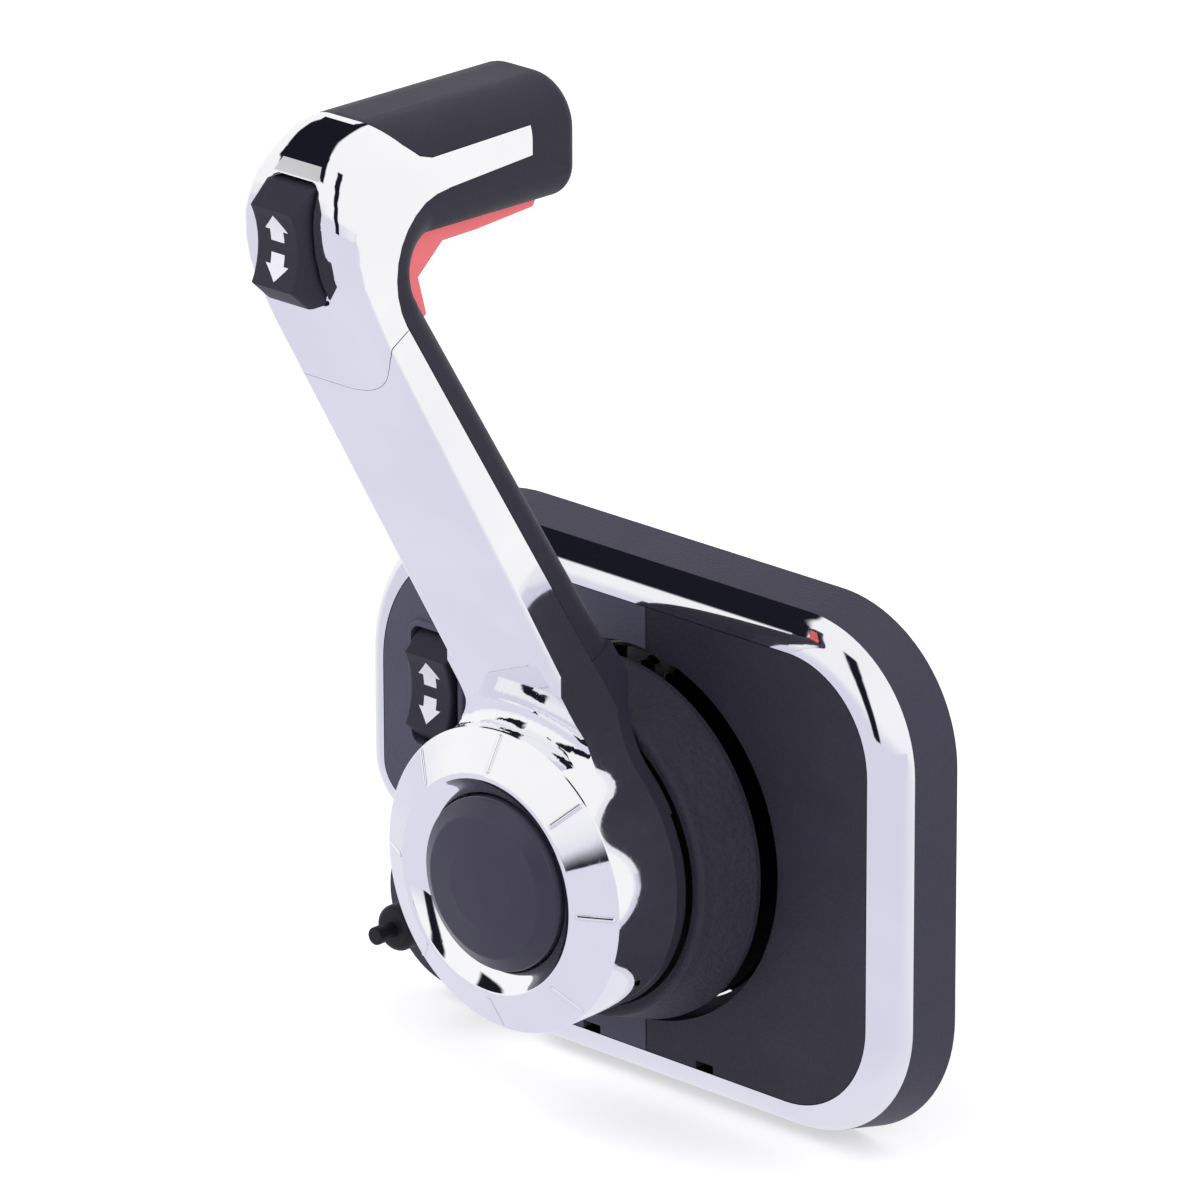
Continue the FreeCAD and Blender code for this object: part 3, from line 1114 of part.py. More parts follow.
def make_shaft():
    """Main shaft, its clip, the lever's screw and washer."""
    end = size.housing_back + size.cover_thickness + size.cover_boss + 2.2
    shaft = rod_y(size.shaft_radius, 0, 0, -size.hub_floor, end)
    groove_low = size.housing_back + size.cover_thickness + size.cover_boss + 0.2
    groove = rod_y(size.shaft_radius + 1, 0, 0, groove_low, groove_low + 1.2)
    groove = groove.cut(rod_y(size.shaft_radius - 1, 0, 0, groove_low - 1, groove_low + 3))
    shaft = shaft.cut(groove).cut(rod_y(4, 0, 0, -size.hub_floor - 1, -size.hub_floor + 16))
    keep(feature("main_shaft", shaft.removeSplitter()))
    clip = rod_y(size.shaft_radius + 3, 0, 0, groove_low, groove_low + 1.2)
    clip = clip.cut(rod_y(size.shaft_radius - 1, 0, 0, groove_low - 1, groove_low + 3))
    clip = clip.cut(Part.makeBox(7, 5, 20, Vector(-3.5, groove_low - 1, 0)))
    keep(feature("shaft_clip", clip))
    washer = rod_y(11, 0, 0, -size.hub_floor - 1.6, -size.hub_floor).cut(rod_y(4, 0, 0, -60, -50))
    keep(feature("lever_washer", washer))
    head = rod_y(6.5, 0, 0, -size.hub_floor - 7.6, -size.hub_floor - 1.6)
    socket = prism_xz(arc_points((0, 0), 3.4, 0, 300, 5), -size.hub_floor - 8, -size.hub_floor - 4)
    shank = rod_y(4, 0, 0, -size.hub_floor - 1.6, -size.hub_floor + 14)
    keep(feature("lever_screw", head.cut(socket).fuse(shank).removeSplitter()))


def make_collar():
    """Tapered black collar with a rounded lip, carried on the housing's boss by its web."""
    outer = [("sizes.collar_lip_inner", "-sizes.collar_front"),
             ("sizes.collar_lip_outer", "-sizes.collar_front"),
             ("sizes.collar_lip_outer + 0.8", "-sizes.collar_front + 3.5"),
             ("sizes.collar_back_radius", "-sizes.collar_back - 1.5"),
             ("sizes.collar_back_radius", "-sizes.collar_back")]
    inner = [("sizes.collar_back_radius - sizes.collar_wall", "-sizes.collar_back"),
             ("sizes.collar_lip_outer - sizes.collar_wall + 1.5", "-sizes.collar_web_back"),
             ("sizes.spigot_radius", "-sizes.collar_web_back"),
             ("sizes.spigot_radius", "-sizes.collar_web_front"),
             ("sizes.collar_lip_inner - 1.5", "-sizes.collar_web_front"),
             ("sizes.collar_lip_inner - 1.5", "-sizes.collar_front + 3.0")]
    body = turned("hub_collar", outer + inner)
    edges = ring_edge(size.collar_lip_outer, -size.collar_front)
    round_edges(body, body.Tip, "1.6", edges)
    holes = sketch_on(body, "hub_collar_holes", "XZ_Plane", "sizes.collar_web_front")
    for index in range(3):
        angle = ("90", "210", "330")[index]
        reach = "((sizes.boss_radius + sizes.spigot_radius) / 2 + 0.4)"
        round_hole(holes, (f"{reach} * cos({angle} deg)", f"{reach} * sin({angle} deg)"), "sizes.screw_radius")
    pocket = body.newObject("PartDesign::Pocket", "hub_collar_pocket")
    pocket.Profile = holes
    pocket.Type = "Length"
    pocket.Midplane = True
    pocket.setExpression("Length", "4 * sizes.collar_wall")
    body.Tip = pocket
    keep(body)


# Rocker switches

def rocker_shapes(place, tip):
    """Rocker, pin and switch body about a pivot at place (x, y, z); tip is the length of the switch body."""
    x, y, z = place
    reach = size.rocker_reach
    half = size.rocker_half_height
    ridge = size.rocker_ridge_height
    dish = reach - size.rocker_dish
    centre_y = -dish - ((ridge ** 2 + size.rocker_dish ** 2) / (2 * size.rocker_dish))
    radius = -dish - centre_y
    sweep = math.degrees(math.asin(ridge / radius))
    face = arc_points((centre_y, 0), radius, -sweep, sweep, 8)
    side = [(-reach + 5.6, half), (1.6, half), (3.2, ridge), (3.2, -ridge), (1.6, -half), (-reach + 5.6, -half)]
    points = [(y + py, z + pz) for py, pz in face + side]
    body = prism_yz(points, size.rocker_width / 2, x)
    long_edges = [edge for edge in body.Edges
                  if edge.BoundBox.XLength < 0.01 and edge.CenterOfMass.y < y - reach + 5.7
                  and abs(edge.CenterOfMass.z - z) < half - 0.1]
    body = body.makeFillet(1.1, long_edges)
    tongue = size.rocker_tongue_width
    slot = Part.makeBox(tongue + 0.6, 6.0, 14.0, Vector(x - tongue / 2 - 0.3, y - 2.5, z - 7))
    pin = rod(size.rocker_pin_radius, Vector(x - size.rocker_width / 2 + 1, y, z),
              Vector(x + size.rocker_width / 2 - 1, y, z))
    body = body.cut(slot).cut(pin)
    floor = y + 5.2
    switch = Part.makeBox(13.0, tip, 24.0, Vector(x - 6.5, floor, z - 12))
    neck = Part.makeBox(tongue, floor - y + 1.5, 9.0, Vector(x - tongue / 2, y - 1.5, z - 4.5))
    switch = switch.fuse(neck).cut(rod(size.rocker_pin_radius + size.running_gap, Vector(x - 9, y, z),
                                       Vector(x + 9, y, z)))
    return body, pin, switch


HANDLE_PIVOT = (0.0, -size.elbow_front + 3.0, size.handle_rocker_z)
PANEL_PIVOT = (size.panel_rocker_x, FACE - size.panel_rocker_proud + size.rocker_reach, size.panel_rocker_z)
HANDLE_SWITCH_DEPTH = 8.0
PANEL_SWITCH_DEPTH = 16.0


def rocker_pocket():
    """Pocket of the elbow cap for its rocker and switch."""
    x, y, z = HANDLE_PIVOT
    mouth = rounded_block((x - WINDOW_HALF_WIDTH, x + WINDOW_HALF_WIDTH), (y - 30, y + 5.2),
                          (z - WINDOW_HALF_HEIGHT, z + WINDOW_HALF_HEIGHT), 3)
    seat = Part.makeBox(13.0, HANDLE_SWITCH_DEPTH + 1, 24.0, Vector(x - 6.5, y + 4.2, z - 12))
    return mouth.fuse(seat)


def make_rockers():
    """The two trim rockers with pins and switch bodies."""
    for name, pivot, depth in (("handle", HANDLE_PIVOT, HANDLE_SWITCH_DEPTH),
                               ("panel", PANEL_PIVOT, PANEL_SWITCH_DEPTH)):
        body, pin, switch = rocker_shapes(pivot, depth)
        if name == "panel":
            x, _, z = pivot
            flange = Part.makeBox(20.0, 2.0, 38.0, Vector(x - 10, DECK_BACK, z - 19))
            switch = switch.fuse(flange)
            for step in (-1, 1):
                switch = switch.fuse(Part.makeBox(0.8, 7.0, 5.0,
                                                  Vector(x - 0.4, pivot[1] + 5.2 + depth - 0.5, z - 2.5 + 7 * step)))
        keep(feature(name + "_rocker", body.removeSplitter()))
        keep(feature(name + "_rocker_pin", pin))
        keep(feature(name + "_switch", switch.removeSplitter()))


# Lanyard stop switch

def make_stop_switch():
    """Barrel with a rounded nose, plunger with its head, spring and nut."""
    place = ("sizes.stop_place_x", "0", "sizes.stop_place_z")
    front = "-(sizes.base_depth + sizes.stop_reach)"
    seat = "-(sizes.base_depth - sizes.trim_depth - 1.1)"
    bore = "sizes.stop_pin_radius + sizes.running_gap"
    well = "sizes.stop_pin_radius + 1.2"
    barrel = turned("lanyard_switch", [
        (bore, front), ("sizes.stop_barrel_radius", front), ("sizes.stop_barrel_radius", f"{seat} - 2.4"),
        ("sizes.stop_flange_radius", f"{seat} - 2.4"), ("sizes.stop_flange_radius", seat),
        ("sizes.stop_neck_radius", seat), ("sizes.stop_neck_radius", "sizes.stop_body_length"),
        ("0", "sizes.stop_body_length"), ("0", "sizes.stop_body_length - 3"), (well, "sizes.stop_body_length - 3"),
        (well, f"{seat} - 2.4"), (bore, f"{seat} - 2.4")], place,
        ("2.2", ring_edge(size.stop_barrel_radius, -(size.base_depth + size.stop_reach))))
    keep(barrel)
    nut_front = f"{seat} + sizes.deck_thickness"
    nut_back = f"{seat} + sizes.deck_thickness + sizes.stop_nut_length"
    keep(turned("lanyard_nut", [("sizes.stop_neck_radius", nut_front), ("sizes.stop_nut_radius", nut_front),
                                ("sizes.stop_nut_radius", nut_back), ("sizes.stop_neck_radius", nut_back)], place))
    tip = "-(sizes.base_depth + sizes.stop_reach + sizes.stop_pin_reach)"
    under = f"{tip} + sizes.stop_head_length"
    keep(turned("lanyard_plunger", [
        ("0", tip), ("sizes.stop_head_radius", tip), ("sizes.stop_head_radius", under),
        ("sizes.stop_pin_radius", under), ("sizes.stop_pin_radius", f"{seat} + 1"),
        ("sizes.stop_pin_radius + 0.9", f"{seat} + 1"), ("sizes.stop_pin_radius + 0.9", f"{seat} + 2.4"),
        ("0", f"{seat} + 2.4")], place,
        ("0.5", ring_edge(size.stop_head_radius, -(size.base_depth + size.stop_reach + size.stop_pin_reach)))))
    low = STOP_FACE + 2.4
    wire = 0.35
    spring = coil(2.2, wire, (size.stop_body_length - 3 - low - 2 * wire) / 5, 5)
    spring.Placement = FreeCAD.Placement(Vector(size.stop_place_x, low + wire, size.stop_place_z),
                                         Rotation(Vector(0, 0, 1), Vector(0, 1, 0)))
    keep(feature("lanyard_spring", spring))


# Build everything in order

keep(feature("base_frame", make_base_frame()))
keep(feature("trim_ring", make_trim_ring()))
keep(feature("face_cover", make_face_cover()))
make_collar()
keep(feature("main_housing", make_main_housing()))
keep(feature("rear_cover", make_rear_cover()))
make_mechanism_details()
make_gears()
make_side_output("shift", side_shafts()[0], 1)
make_side_output("throttle", side_shafts()[1], -1)
keep(feature("cable_bracket", make_cable_bracket()))
make_fasteners()
make_handle()
keep(feature("hub_rear_ring", make_hub_rear_ring()))
keep(feature("hub_ring", make_hub_ring()))
make_button()
keep(feature("button_spring", make_button_spring()))
make_shaft()
make_release()
make_rockers()
make_stop_switch()
document.recompute()

# Check every piece, then write each to its own file

for item in document.Objects:
    if "Invalid" in item.State or "Error" in item.State:
        raise RuntimeError(f"{item.Label} is in state {item.State}")
for piece in PIECES:
    if piece.Shape.isNull() or not piece.Shape.isValid():
        raise RuntimeError(f"{piece.Label} has no valid shape")
os.makedirs("parts", exist_ok=True)
for piece in PIECES:
    piece.Shape.exportStep(os.path.join("parts", piece.Label + ".step"))
    span = piece.Shape.BoundBox
    print(f"{piece.Label}: {len(piece.Shape.Solids)} solids, {piece.Shape.Volume:.0f} mm3, "
          f"{span.XLength:.1f} x {span.YLength:.1f} x {span.ZLength:.1f}")
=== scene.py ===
"""Looks of a boat throttle control: finishes, inlaid marks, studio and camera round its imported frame.

Metres. X runs along the panel, Z is up, and the lever leans out of the panel towards -Y.
"""
import logging
import math
from dataclasses import dataclass, field
from enum import Enum
from typing import Union

import bmesh
import bpy
from mathutils import Matrix, Vector


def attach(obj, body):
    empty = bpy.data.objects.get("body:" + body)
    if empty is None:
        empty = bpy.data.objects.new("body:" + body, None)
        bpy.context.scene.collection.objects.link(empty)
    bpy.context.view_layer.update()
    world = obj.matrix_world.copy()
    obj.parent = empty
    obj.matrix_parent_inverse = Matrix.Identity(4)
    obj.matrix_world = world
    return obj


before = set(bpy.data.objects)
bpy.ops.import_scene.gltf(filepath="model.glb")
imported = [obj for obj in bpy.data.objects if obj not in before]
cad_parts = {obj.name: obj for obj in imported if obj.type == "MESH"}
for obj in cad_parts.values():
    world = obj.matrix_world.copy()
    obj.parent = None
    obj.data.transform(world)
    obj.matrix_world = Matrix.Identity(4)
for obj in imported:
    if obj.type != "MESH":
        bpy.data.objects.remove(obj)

log = logging.getLogger("throttle_control")
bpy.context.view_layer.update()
MM = 0.001


class Group(Enum):
    """The bodies that the new pieces ride on."""

    HANDLE_TRIM = "handle_trim"
    PANEL_TRIM = "panel_trim"


# Shader building

Value = Union[float, tuple, "Wire"]


class Wire:
    """A shader socket that takes part in sums; each operator adds its Math node."""

    def __init__(self, tree: bpy.types.NodeTree, socket: bpy.types.NodeSocket) -> None:
        """Wrap a socket.

        Args:
            tree: Node tree that new Math nodes are added to.
            socket: Output socket that carries the value.
        """
        self.tree = tree
        self.socket = socket

    def math(self, operation: str, *values: Value) -> "Wire":
        """Add one Math node.

        Args:
            operation: The node's operation.
            values: Its inputs in order, numbers or wires.

        Returns:
            The wire of the result.
        """
        node = self.tree.nodes.new("ShaderNodeMath")
        node.operation = operation
        for index, value in enumerate(values):
            if isinstance(value, Wire):
                self.tree.links.new(value.socket, node.inputs[index])
            else:
                node.inputs[index].default_value = value
        return Wire(self.tree, node.outputs[0])

    def __add__(self, other: Value) -> "Wire":
        """Sum."""
        return self.math("ADD", self, other)

    def __radd__(self, other: Value) -> "Wire":
        """Sum with the number first."""
        return self.math("ADD", other, self)

    def __sub__(self, other: Value) -> "Wire":
        """Difference."""
        return self.math("SUBTRACT", self, other)

    def __rsub__(self, other: Value) -> "Wire":
        """Difference with the number first."""
        return self.math("SUBTRACT", other, self)

    def __mul__(self, other: Value) -> "Wire":
        """Product."""
        return self.math("MULTIPLY", self, other)

    def __rmul__(self, other: Value) -> "Wire":
        """Product with the number first."""
        return self.math("MULTIPLY", other, self)

    def above(self, limit: float) -> "Wire":
        """One where the value is over the limit, else zero."""
        return self.math("GREATER_THAN", self, limit)


class NodeBook:
    """A node tree under construction, with one method that adds any node."""

    def __init__(self, tree: bpy.types.NodeTree) -> None:
        """Start with an empty tree.

        Args:
            tree: The tree, which is cleared.
        """
        self.tree = tree
        self.tree.nodes.clear()

    def add(self, kind: str, settings: dict | None = None, values: dict | None = None) -> bpy.types.Node:
        """Add a node, set it up and fill its sockets.

        Args:
            kind: Node type without the ShaderNode prefix.
            settings: Properties that are set first; "stops" fills a colour ramp.
            values: Socket name or index to number, tuple or wire.

        Returns:
            The node.
        """
        node = self.tree.nodes.new("ShaderNode" + kind)
        for name, setting in (settings or {}).items():
            if name == "stops":
                self.fill_ramp(node.color_ramp, setting)
            else:
                setattr(node, name, setting)
        for name, value in (values or {}).items():
            if isinstance(value, Wire):
                self.tree.links.new(value.socket, node.inputs[name])
            else:
                node.inputs[name].default_value = value
        return node

    @staticmethod
    def fill_ramp(ramp: bpy.types.ColorRamp, stops: list) -> None:
        """Put the stops into a colour ramp.

        Args:
            ramp: The ramp.
            stops: Pairs of place and grey value.
        """
        while len(ramp.elements) < len(stops):
            ramp.elements.new(0.5)
        for element, (place, grey) in zip(ramp.elements, stops):
            element.position = place
            element.color = (grey, grey, grey, 1.0)

    def out(self, node: bpy.types.Node, name: Union[str, int] = 0) -> Wire:
        """Wire of one of a node's outputs."""
        return Wire(self.tree, node.outputs[name])

    def blend(self, share: Wire, low: Union[tuple, Wire], high: Union[tuple, Wire]) -> Wire:
        """Mix two colours.

        Args:
            share: Zero gives the first colour and one the second.
            low: First colour, linear, or its wire.
            high: Second colour, linear, or its wire.

        Returns:
            Wire of the mixed colour.
        """
        colours = [(*part, 1.0) if isinstance(part, tuple) else part for part in (low, high)]
        node = self.add("Mix", {"data_type": "RGBA"}, {0: share, 6: colours[0], 7: colours[1]})
        return self.out(node, 2)

    def remap(self, value: Wire, start: float, end: float) -> Wire:
        """Smooth step from zero at start to one at end."""
        node = self.add("MapRange", {"interpolation_type": "SMOOTHSTEP"},
                        {"Value": value, "From Min": start, "From Max": end})
        return self.out(node)


class Recipe(NodeBook):
    """A material under construction."""

    def __init__(self, name: str) -> None:
        """Start an empty material.

        Args:
            name: Name of the material.
        """
        self.material = bpy.data.materials.new(name)
        self.material.use_nodes = True
        super().__init__(self.material.node_tree)

    def place(self) -> Wire:
        """Place on the piece in metres, which rides with it."""
        return self.out(self.add("TexCoord"), "Object")

    def across(self, axis: str) -> Wire:
        """One coordinate of the place on the piece, named X, Y or Z."""
        return self.out(self.add("SeparateXYZ", values={"Vector": self.place()}), axis)

    def noise(self, size: float, detail: float = 3.0, stretch: tuple = (1.0, 1.0, 1.0)) -> Wire:
        """Soft noise with features of about one size.

        Args:
            size: Feature size in metres.
            detail: How many finer layers are added.
            stretch: Factors on the three coordinates.

        Returns:
            Wire of values round one half.
        """
        place = self.out(self.add("Mapping", values={"Vector": self.place(), "Scale": stretch}))
        node = self.add("TexNoise", values={"Vector": place, "Scale": 1.0 / size, "Detail": detail})
        return self.out(node, 0)

    def cells(self, size: float) -> Wire:
        """Rounded cells of about one size, as on a grained mould."""
        node = self.add("TexVoronoi", {"feature": "SMOOTH_F1"}, {"Vector": self.place(), "Scale": 1.0 / size})
        return self.out(node, "Distance")

    def ramp(self, value: Wire, stops: list) -> Wire:
        """Remap a value through a grey ramp."""
        return self.out(self.add("ValToRGB", {"stops": stops}, {0: value}))

    def bump(self, height: Wire, depth: float) -> Wire:
        """Normal of a surface with this relief, depth in metres."""
        node = self.add("Bump", values={"Strength": 1.0, "Distance": depth, "Height": height})
        return self.out(node)

    def surface(self, values: dict) -> bpy.types.Material:
        """Finish with a Principled shader.

        Args:
            values: Its sockets.

        Returns:
            The material.
        """
        shader = self.add("BsdfPrincipled", values=values)
        self.add("OutputMaterial", values={"Surface": self.out(shader)})
        return self.material


@dataclass(frozen=True)
class MouldedPlastic:
    """Moulded plastic with a mould grain, slight sheen changes and a fine dusting of the colour."""

    name: str
    colour: tuple
    pale: tuple
    roughness: float
    grain: float
    depth: float
    patch: float = 0.02
    sheen_change: float = 0.08
    gloss: float = 0.32
    # glow is painted light: an emission that brightens a part which is no lamp.
    glow: float = 0.0
    cell_share: float = 0.7
    noise_share: float = 0.5
    fine_size: float = 0.6
    patch_share: float = 0.55
    relief_share: float = 0.35
    sheen_size: float = 1.7

    def grain_height(self, recipe: Recipe) -> Wire:
        """Relief of the mould grain."""
        fine = recipe.noise(self.grain * self.fine_size)
        return recipe.cells(self.grain) * self.cell_share + fine * self.noise_share

    def tone(self, recipe: Recipe, height: Wire) -> Wire:
        """How far the colour goes from its base to its pale tone."""
        return recipe.noise(self.patch) * self.patch_share + height * self.relief_share

    def make(self) -> bpy.types.Material:
        """The material."""
        recipe = Recipe(self.name)
        height = self.grain_height(recipe)
        colour = recipe.blend(self.tone(recipe, height), self.colour, self.pale)
        change = (recipe.noise(self.patch * self.sheen_size) - 0.5) * (2 * self.sheen_change)
        return recipe.surface({"Base Color": colour, "Roughness": change + self.roughness,
                               "Normal": recipe.bump(height, self.depth), "Specular IOR Level": self.gloss,
                               "Emission Color": colour, "Emission Strength": self.glow})


@dataclass(frozen=True)
class FacePlastic(MouldedPlastic):
    """The cover's plastic, with painted light making it lighter on one side of its crease."""

    crease: float = 0.005
    painted_light_share: float = 0.72
    calm: float = 0.30

    def tone(self, recipe: Recipe, height: Wire) -> Wire:
        """A calmer tone, raised left of the crease by painted light."""
        painted_lit_side = 1.0 - recipe.across("X").above(self.crease)
        return MouldedPlastic.tone(self, recipe, height) * self.calm + painted_lit_side * self.painted_light_share


@dataclass(frozen=True)
class Chrome:
    """Polished chrome plating with faint waviness and wiping marks."""

    name: str
    colour: tuple
    dull: tuple
    roughness: float
    wave: float = 0.018
    wave_depth: float = 0.000006
    mark: float = 0.0009
    mark_stretch: tuple = (1.0, 1.0, 0.12)
    mark_roughness: float = 0.05
    film_size: float = 2.2
    film_roughness: float = 0.03

    def tint(self, recipe: Recipe, film: Wire) -> Wire:
        """Colour of the plating with its dull places."""
        return recipe.blend(recipe.ramp(film, [(0.35, 0.0), (0.75, 1.0)]), self.colour, self.dull)

    def make(self) -> bpy.types.Material:
        """The material."""
        recipe = Recipe(self.name)
        marks = recipe.ramp(recipe.noise(self.mark, 2.0, self.mark_stretch), [(0.55, 0.0), (0.8, 1.0)])
        film = recipe.noise(self.wave * self.film_size)
        colour = self.tint(recipe, film)
        roughness = marks * self.mark_roughness + film * self.film_roughness + self.roughness
        height = recipe.noise(self.wave, 1.0)
        return recipe.surface({"Base Color": colour, "Metallic": 1.0, "Roughness": roughness,
                               "Normal": recipe.bump(height, self.wave_depth)})


@dataclass(frozen=True)
class CornerShadedChrome(Chrome):
    """Chrome with painted shade: a little darker along the foot of raised marks, where shade falls."""

    line: float = 0.0009
    painted_corner_shade: tuple = (0.30, 0.30, 0.36)

    def tint(self, recipe: Recipe, film: Wire) -> Wire:
        """The plating's colour, with painted shade in narrow corners."""
        open_share = recipe.out(recipe.add("AmbientOcclusion", {"samples": 8}, {"Distance": self.line}), "AO")
        corner_shade_share = recipe.ramp(open_share, [(0.55, 1.0), (0.92, 0.0)])
        return recipe.blend(corner_shade_share, Chrome.tint(self, recipe, film), self.painted_corner_shade)


@dataclass(frozen=True)
class TrimChrome(Chrome):
    """Chrome of the trim, with painted shade: near black on the ledge and wall round the cover, in the gap
    where shade falls.
    """

    ledge_depth: float = -0.0180
    ledge_facing: float = 0.98
    wall_depth: float = -0.0174
    wall_facing: float = 0.25
    painted_gap_shade: tuple = (0.012, 0.012, 0.016)

    def tint(self, recipe: Recipe, film: Wire) -> Wire:
        """The plating's colour, with painted shade where the surface is deep and flat or shallow and
        sideways.
        """
        normal = recipe.out(recipe.add("TexCoord"), "Normal")
        outwards = recipe.out(recipe.add("SeparateXYZ", values={"Vector": normal}), "Y") * -1.0
        depth = recipe.across("Y")
        ledge = depth.above(self.ledge_depth) * outwards.above(self.ledge_facing)
        wall = (1.0 - depth.above(self.wall_depth)) * (1.0 - outwards.above(self.wall_facing))
        return recipe.blend(ledge + wall, Chrome.tint(self, recipe, film), self.painted_gap_shade)


@dataclass(frozen=True)
class Metal:
    """Bare metal: cast skin or turned and ground surface."""

    name: str
    colour: tuple
    dark: tuple
    roughness: float
    grain: float
    depth: float
    stretch: tuple = (1.0, 1.0, 1.0)
    stain_size: float = 0.012
    stain_share: float = 0.6
    lay_share: float = 0.3
    lay_roughness: float = 0.25

    def add_painted_shade(self, recipe: Recipe, colour: Wire) -> Wire:
        """Colour with any painted shade laid over it; plain metal has none."""
        return colour

    def make(self) -> bpy.types.Material:
        """The material."""
        recipe = Recipe(self.name)
        lay = recipe.noise(self.grain, 4.0, self.stretch)
        stain = recipe.ramp(recipe.noise(self.stain_size), [(0.4, 0.0), (0.7, 1.0)])
        share = stain * self.stain_share + lay * self.lay_share
        colour = self.add_painted_shade(recipe, recipe.blend(share, self.colour, self.dark))
        roughness = lay * self.lay_roughness + self.roughness
        return recipe.surface({"Base Color": colour, "Metallic": 1.0, "Roughness": roughness,
                               "Normal": recipe.bump(lay, self.depth)})


@dataclass(frozen=True)
class GapShadedCasting(Metal):
    """Casting with painted shade: near black for the shade in the gap round the collar, left off round the
    lug's hole.
    """

    lug: tuple = (0.0026, 0.0, 0.044)
    hole: float = 0.00245
    bare_reach: float = 0.0105
    painted_casting_shade: tuple = (0.010, 0.010, 0.014)
    ragged_size: float = 0.004
    ragged: float = 0.003

    def add_painted_shade(self, recipe: Recipe, colour: Wire) -> Wire:
        """Painted shade outside the bare place round the lug."""
        flat = recipe.add("VectorMath", {"operation": "MULTIPLY"}, {0: recipe.place(), 1: (1.0, 0.0, 1.0)})
        apart = recipe.add("VectorMath", {"operation": "DISTANCE"}, {0: recipe.out(flat), 1: self.lug})
        reach = recipe.out(apart, "Value")
        edge = reach + recipe.noise(self.ragged_size) * self.ragged
        gap_shaded = edge.above(self.bare_reach) + (1.0 - reach.above(self.hole))
        return recipe.blend(gap_shaded, colour, self.painted_casting_shade)


@dataclass(frozen=True)
class Backdrop:
    """White paper that keeps the object's shadow; the camera sees it white and glossy rays see it pale, as a
    painted reflection without the shadow.
    """

    name: str
    colour: tuple
    lift: float
    near: tuple = (0.76, 0.755, 0.87)
    far: tuple = (1.0, 1.0, 1.0)
    falls_off: tuple = (-0.10, 0.15)
    fibre: float = 0.004
    fibre_shade: float = 0.98

    def make(self) -> bpy.types.Material:
        """The material."""
        recipe = Recipe(self.name)
        darker = tuple(self.fibre_shade * part for part in self.colour)
        shade = recipe.blend(recipe.noise(self.fibre), self.colour, darker)
        paper = recipe.add("BsdfDiffuse", values={"Color": shade})
        glow = recipe.add("Emission", values={"Color": (1.0, 1.0, 1.0, 1.0), "Strength": self.lift})
        shown = recipe.add("AddShader", values={0: recipe.out(paper), 1: recipe.out(glow)})
        # Painted reflection: glossy and transmission rays see a glow graded from pale lavender in front to
        # white behind, not the lit paper.
        tone = recipe.blend(recipe.remap(recipe.across("Y"), *self.falls_off), self.near, self.far)
        painted_reflection_floor = recipe.add("Emission", values={"Color": tone, "Strength": 1.0})
        path = recipe.add("LightPath")
        mirrored = recipe.out(path, "Is Glossy Ray") + recipe.out(path, "Is Transmission Ray")
        seen = recipe.add("MixShader", values={0: mirrored, 1: recipe.out(paper), 2: recipe.out(painted_reflection_floor)})
        final = recipe.add("MixShader", values={0: recipe.out(path, "Is Camera Ray"), 1: recipe.out(seen),
                                                2: recipe.out(shown)})
        recipe.add("OutputMaterial", values={"Surface": recipe.out(final)})
        return recipe.material


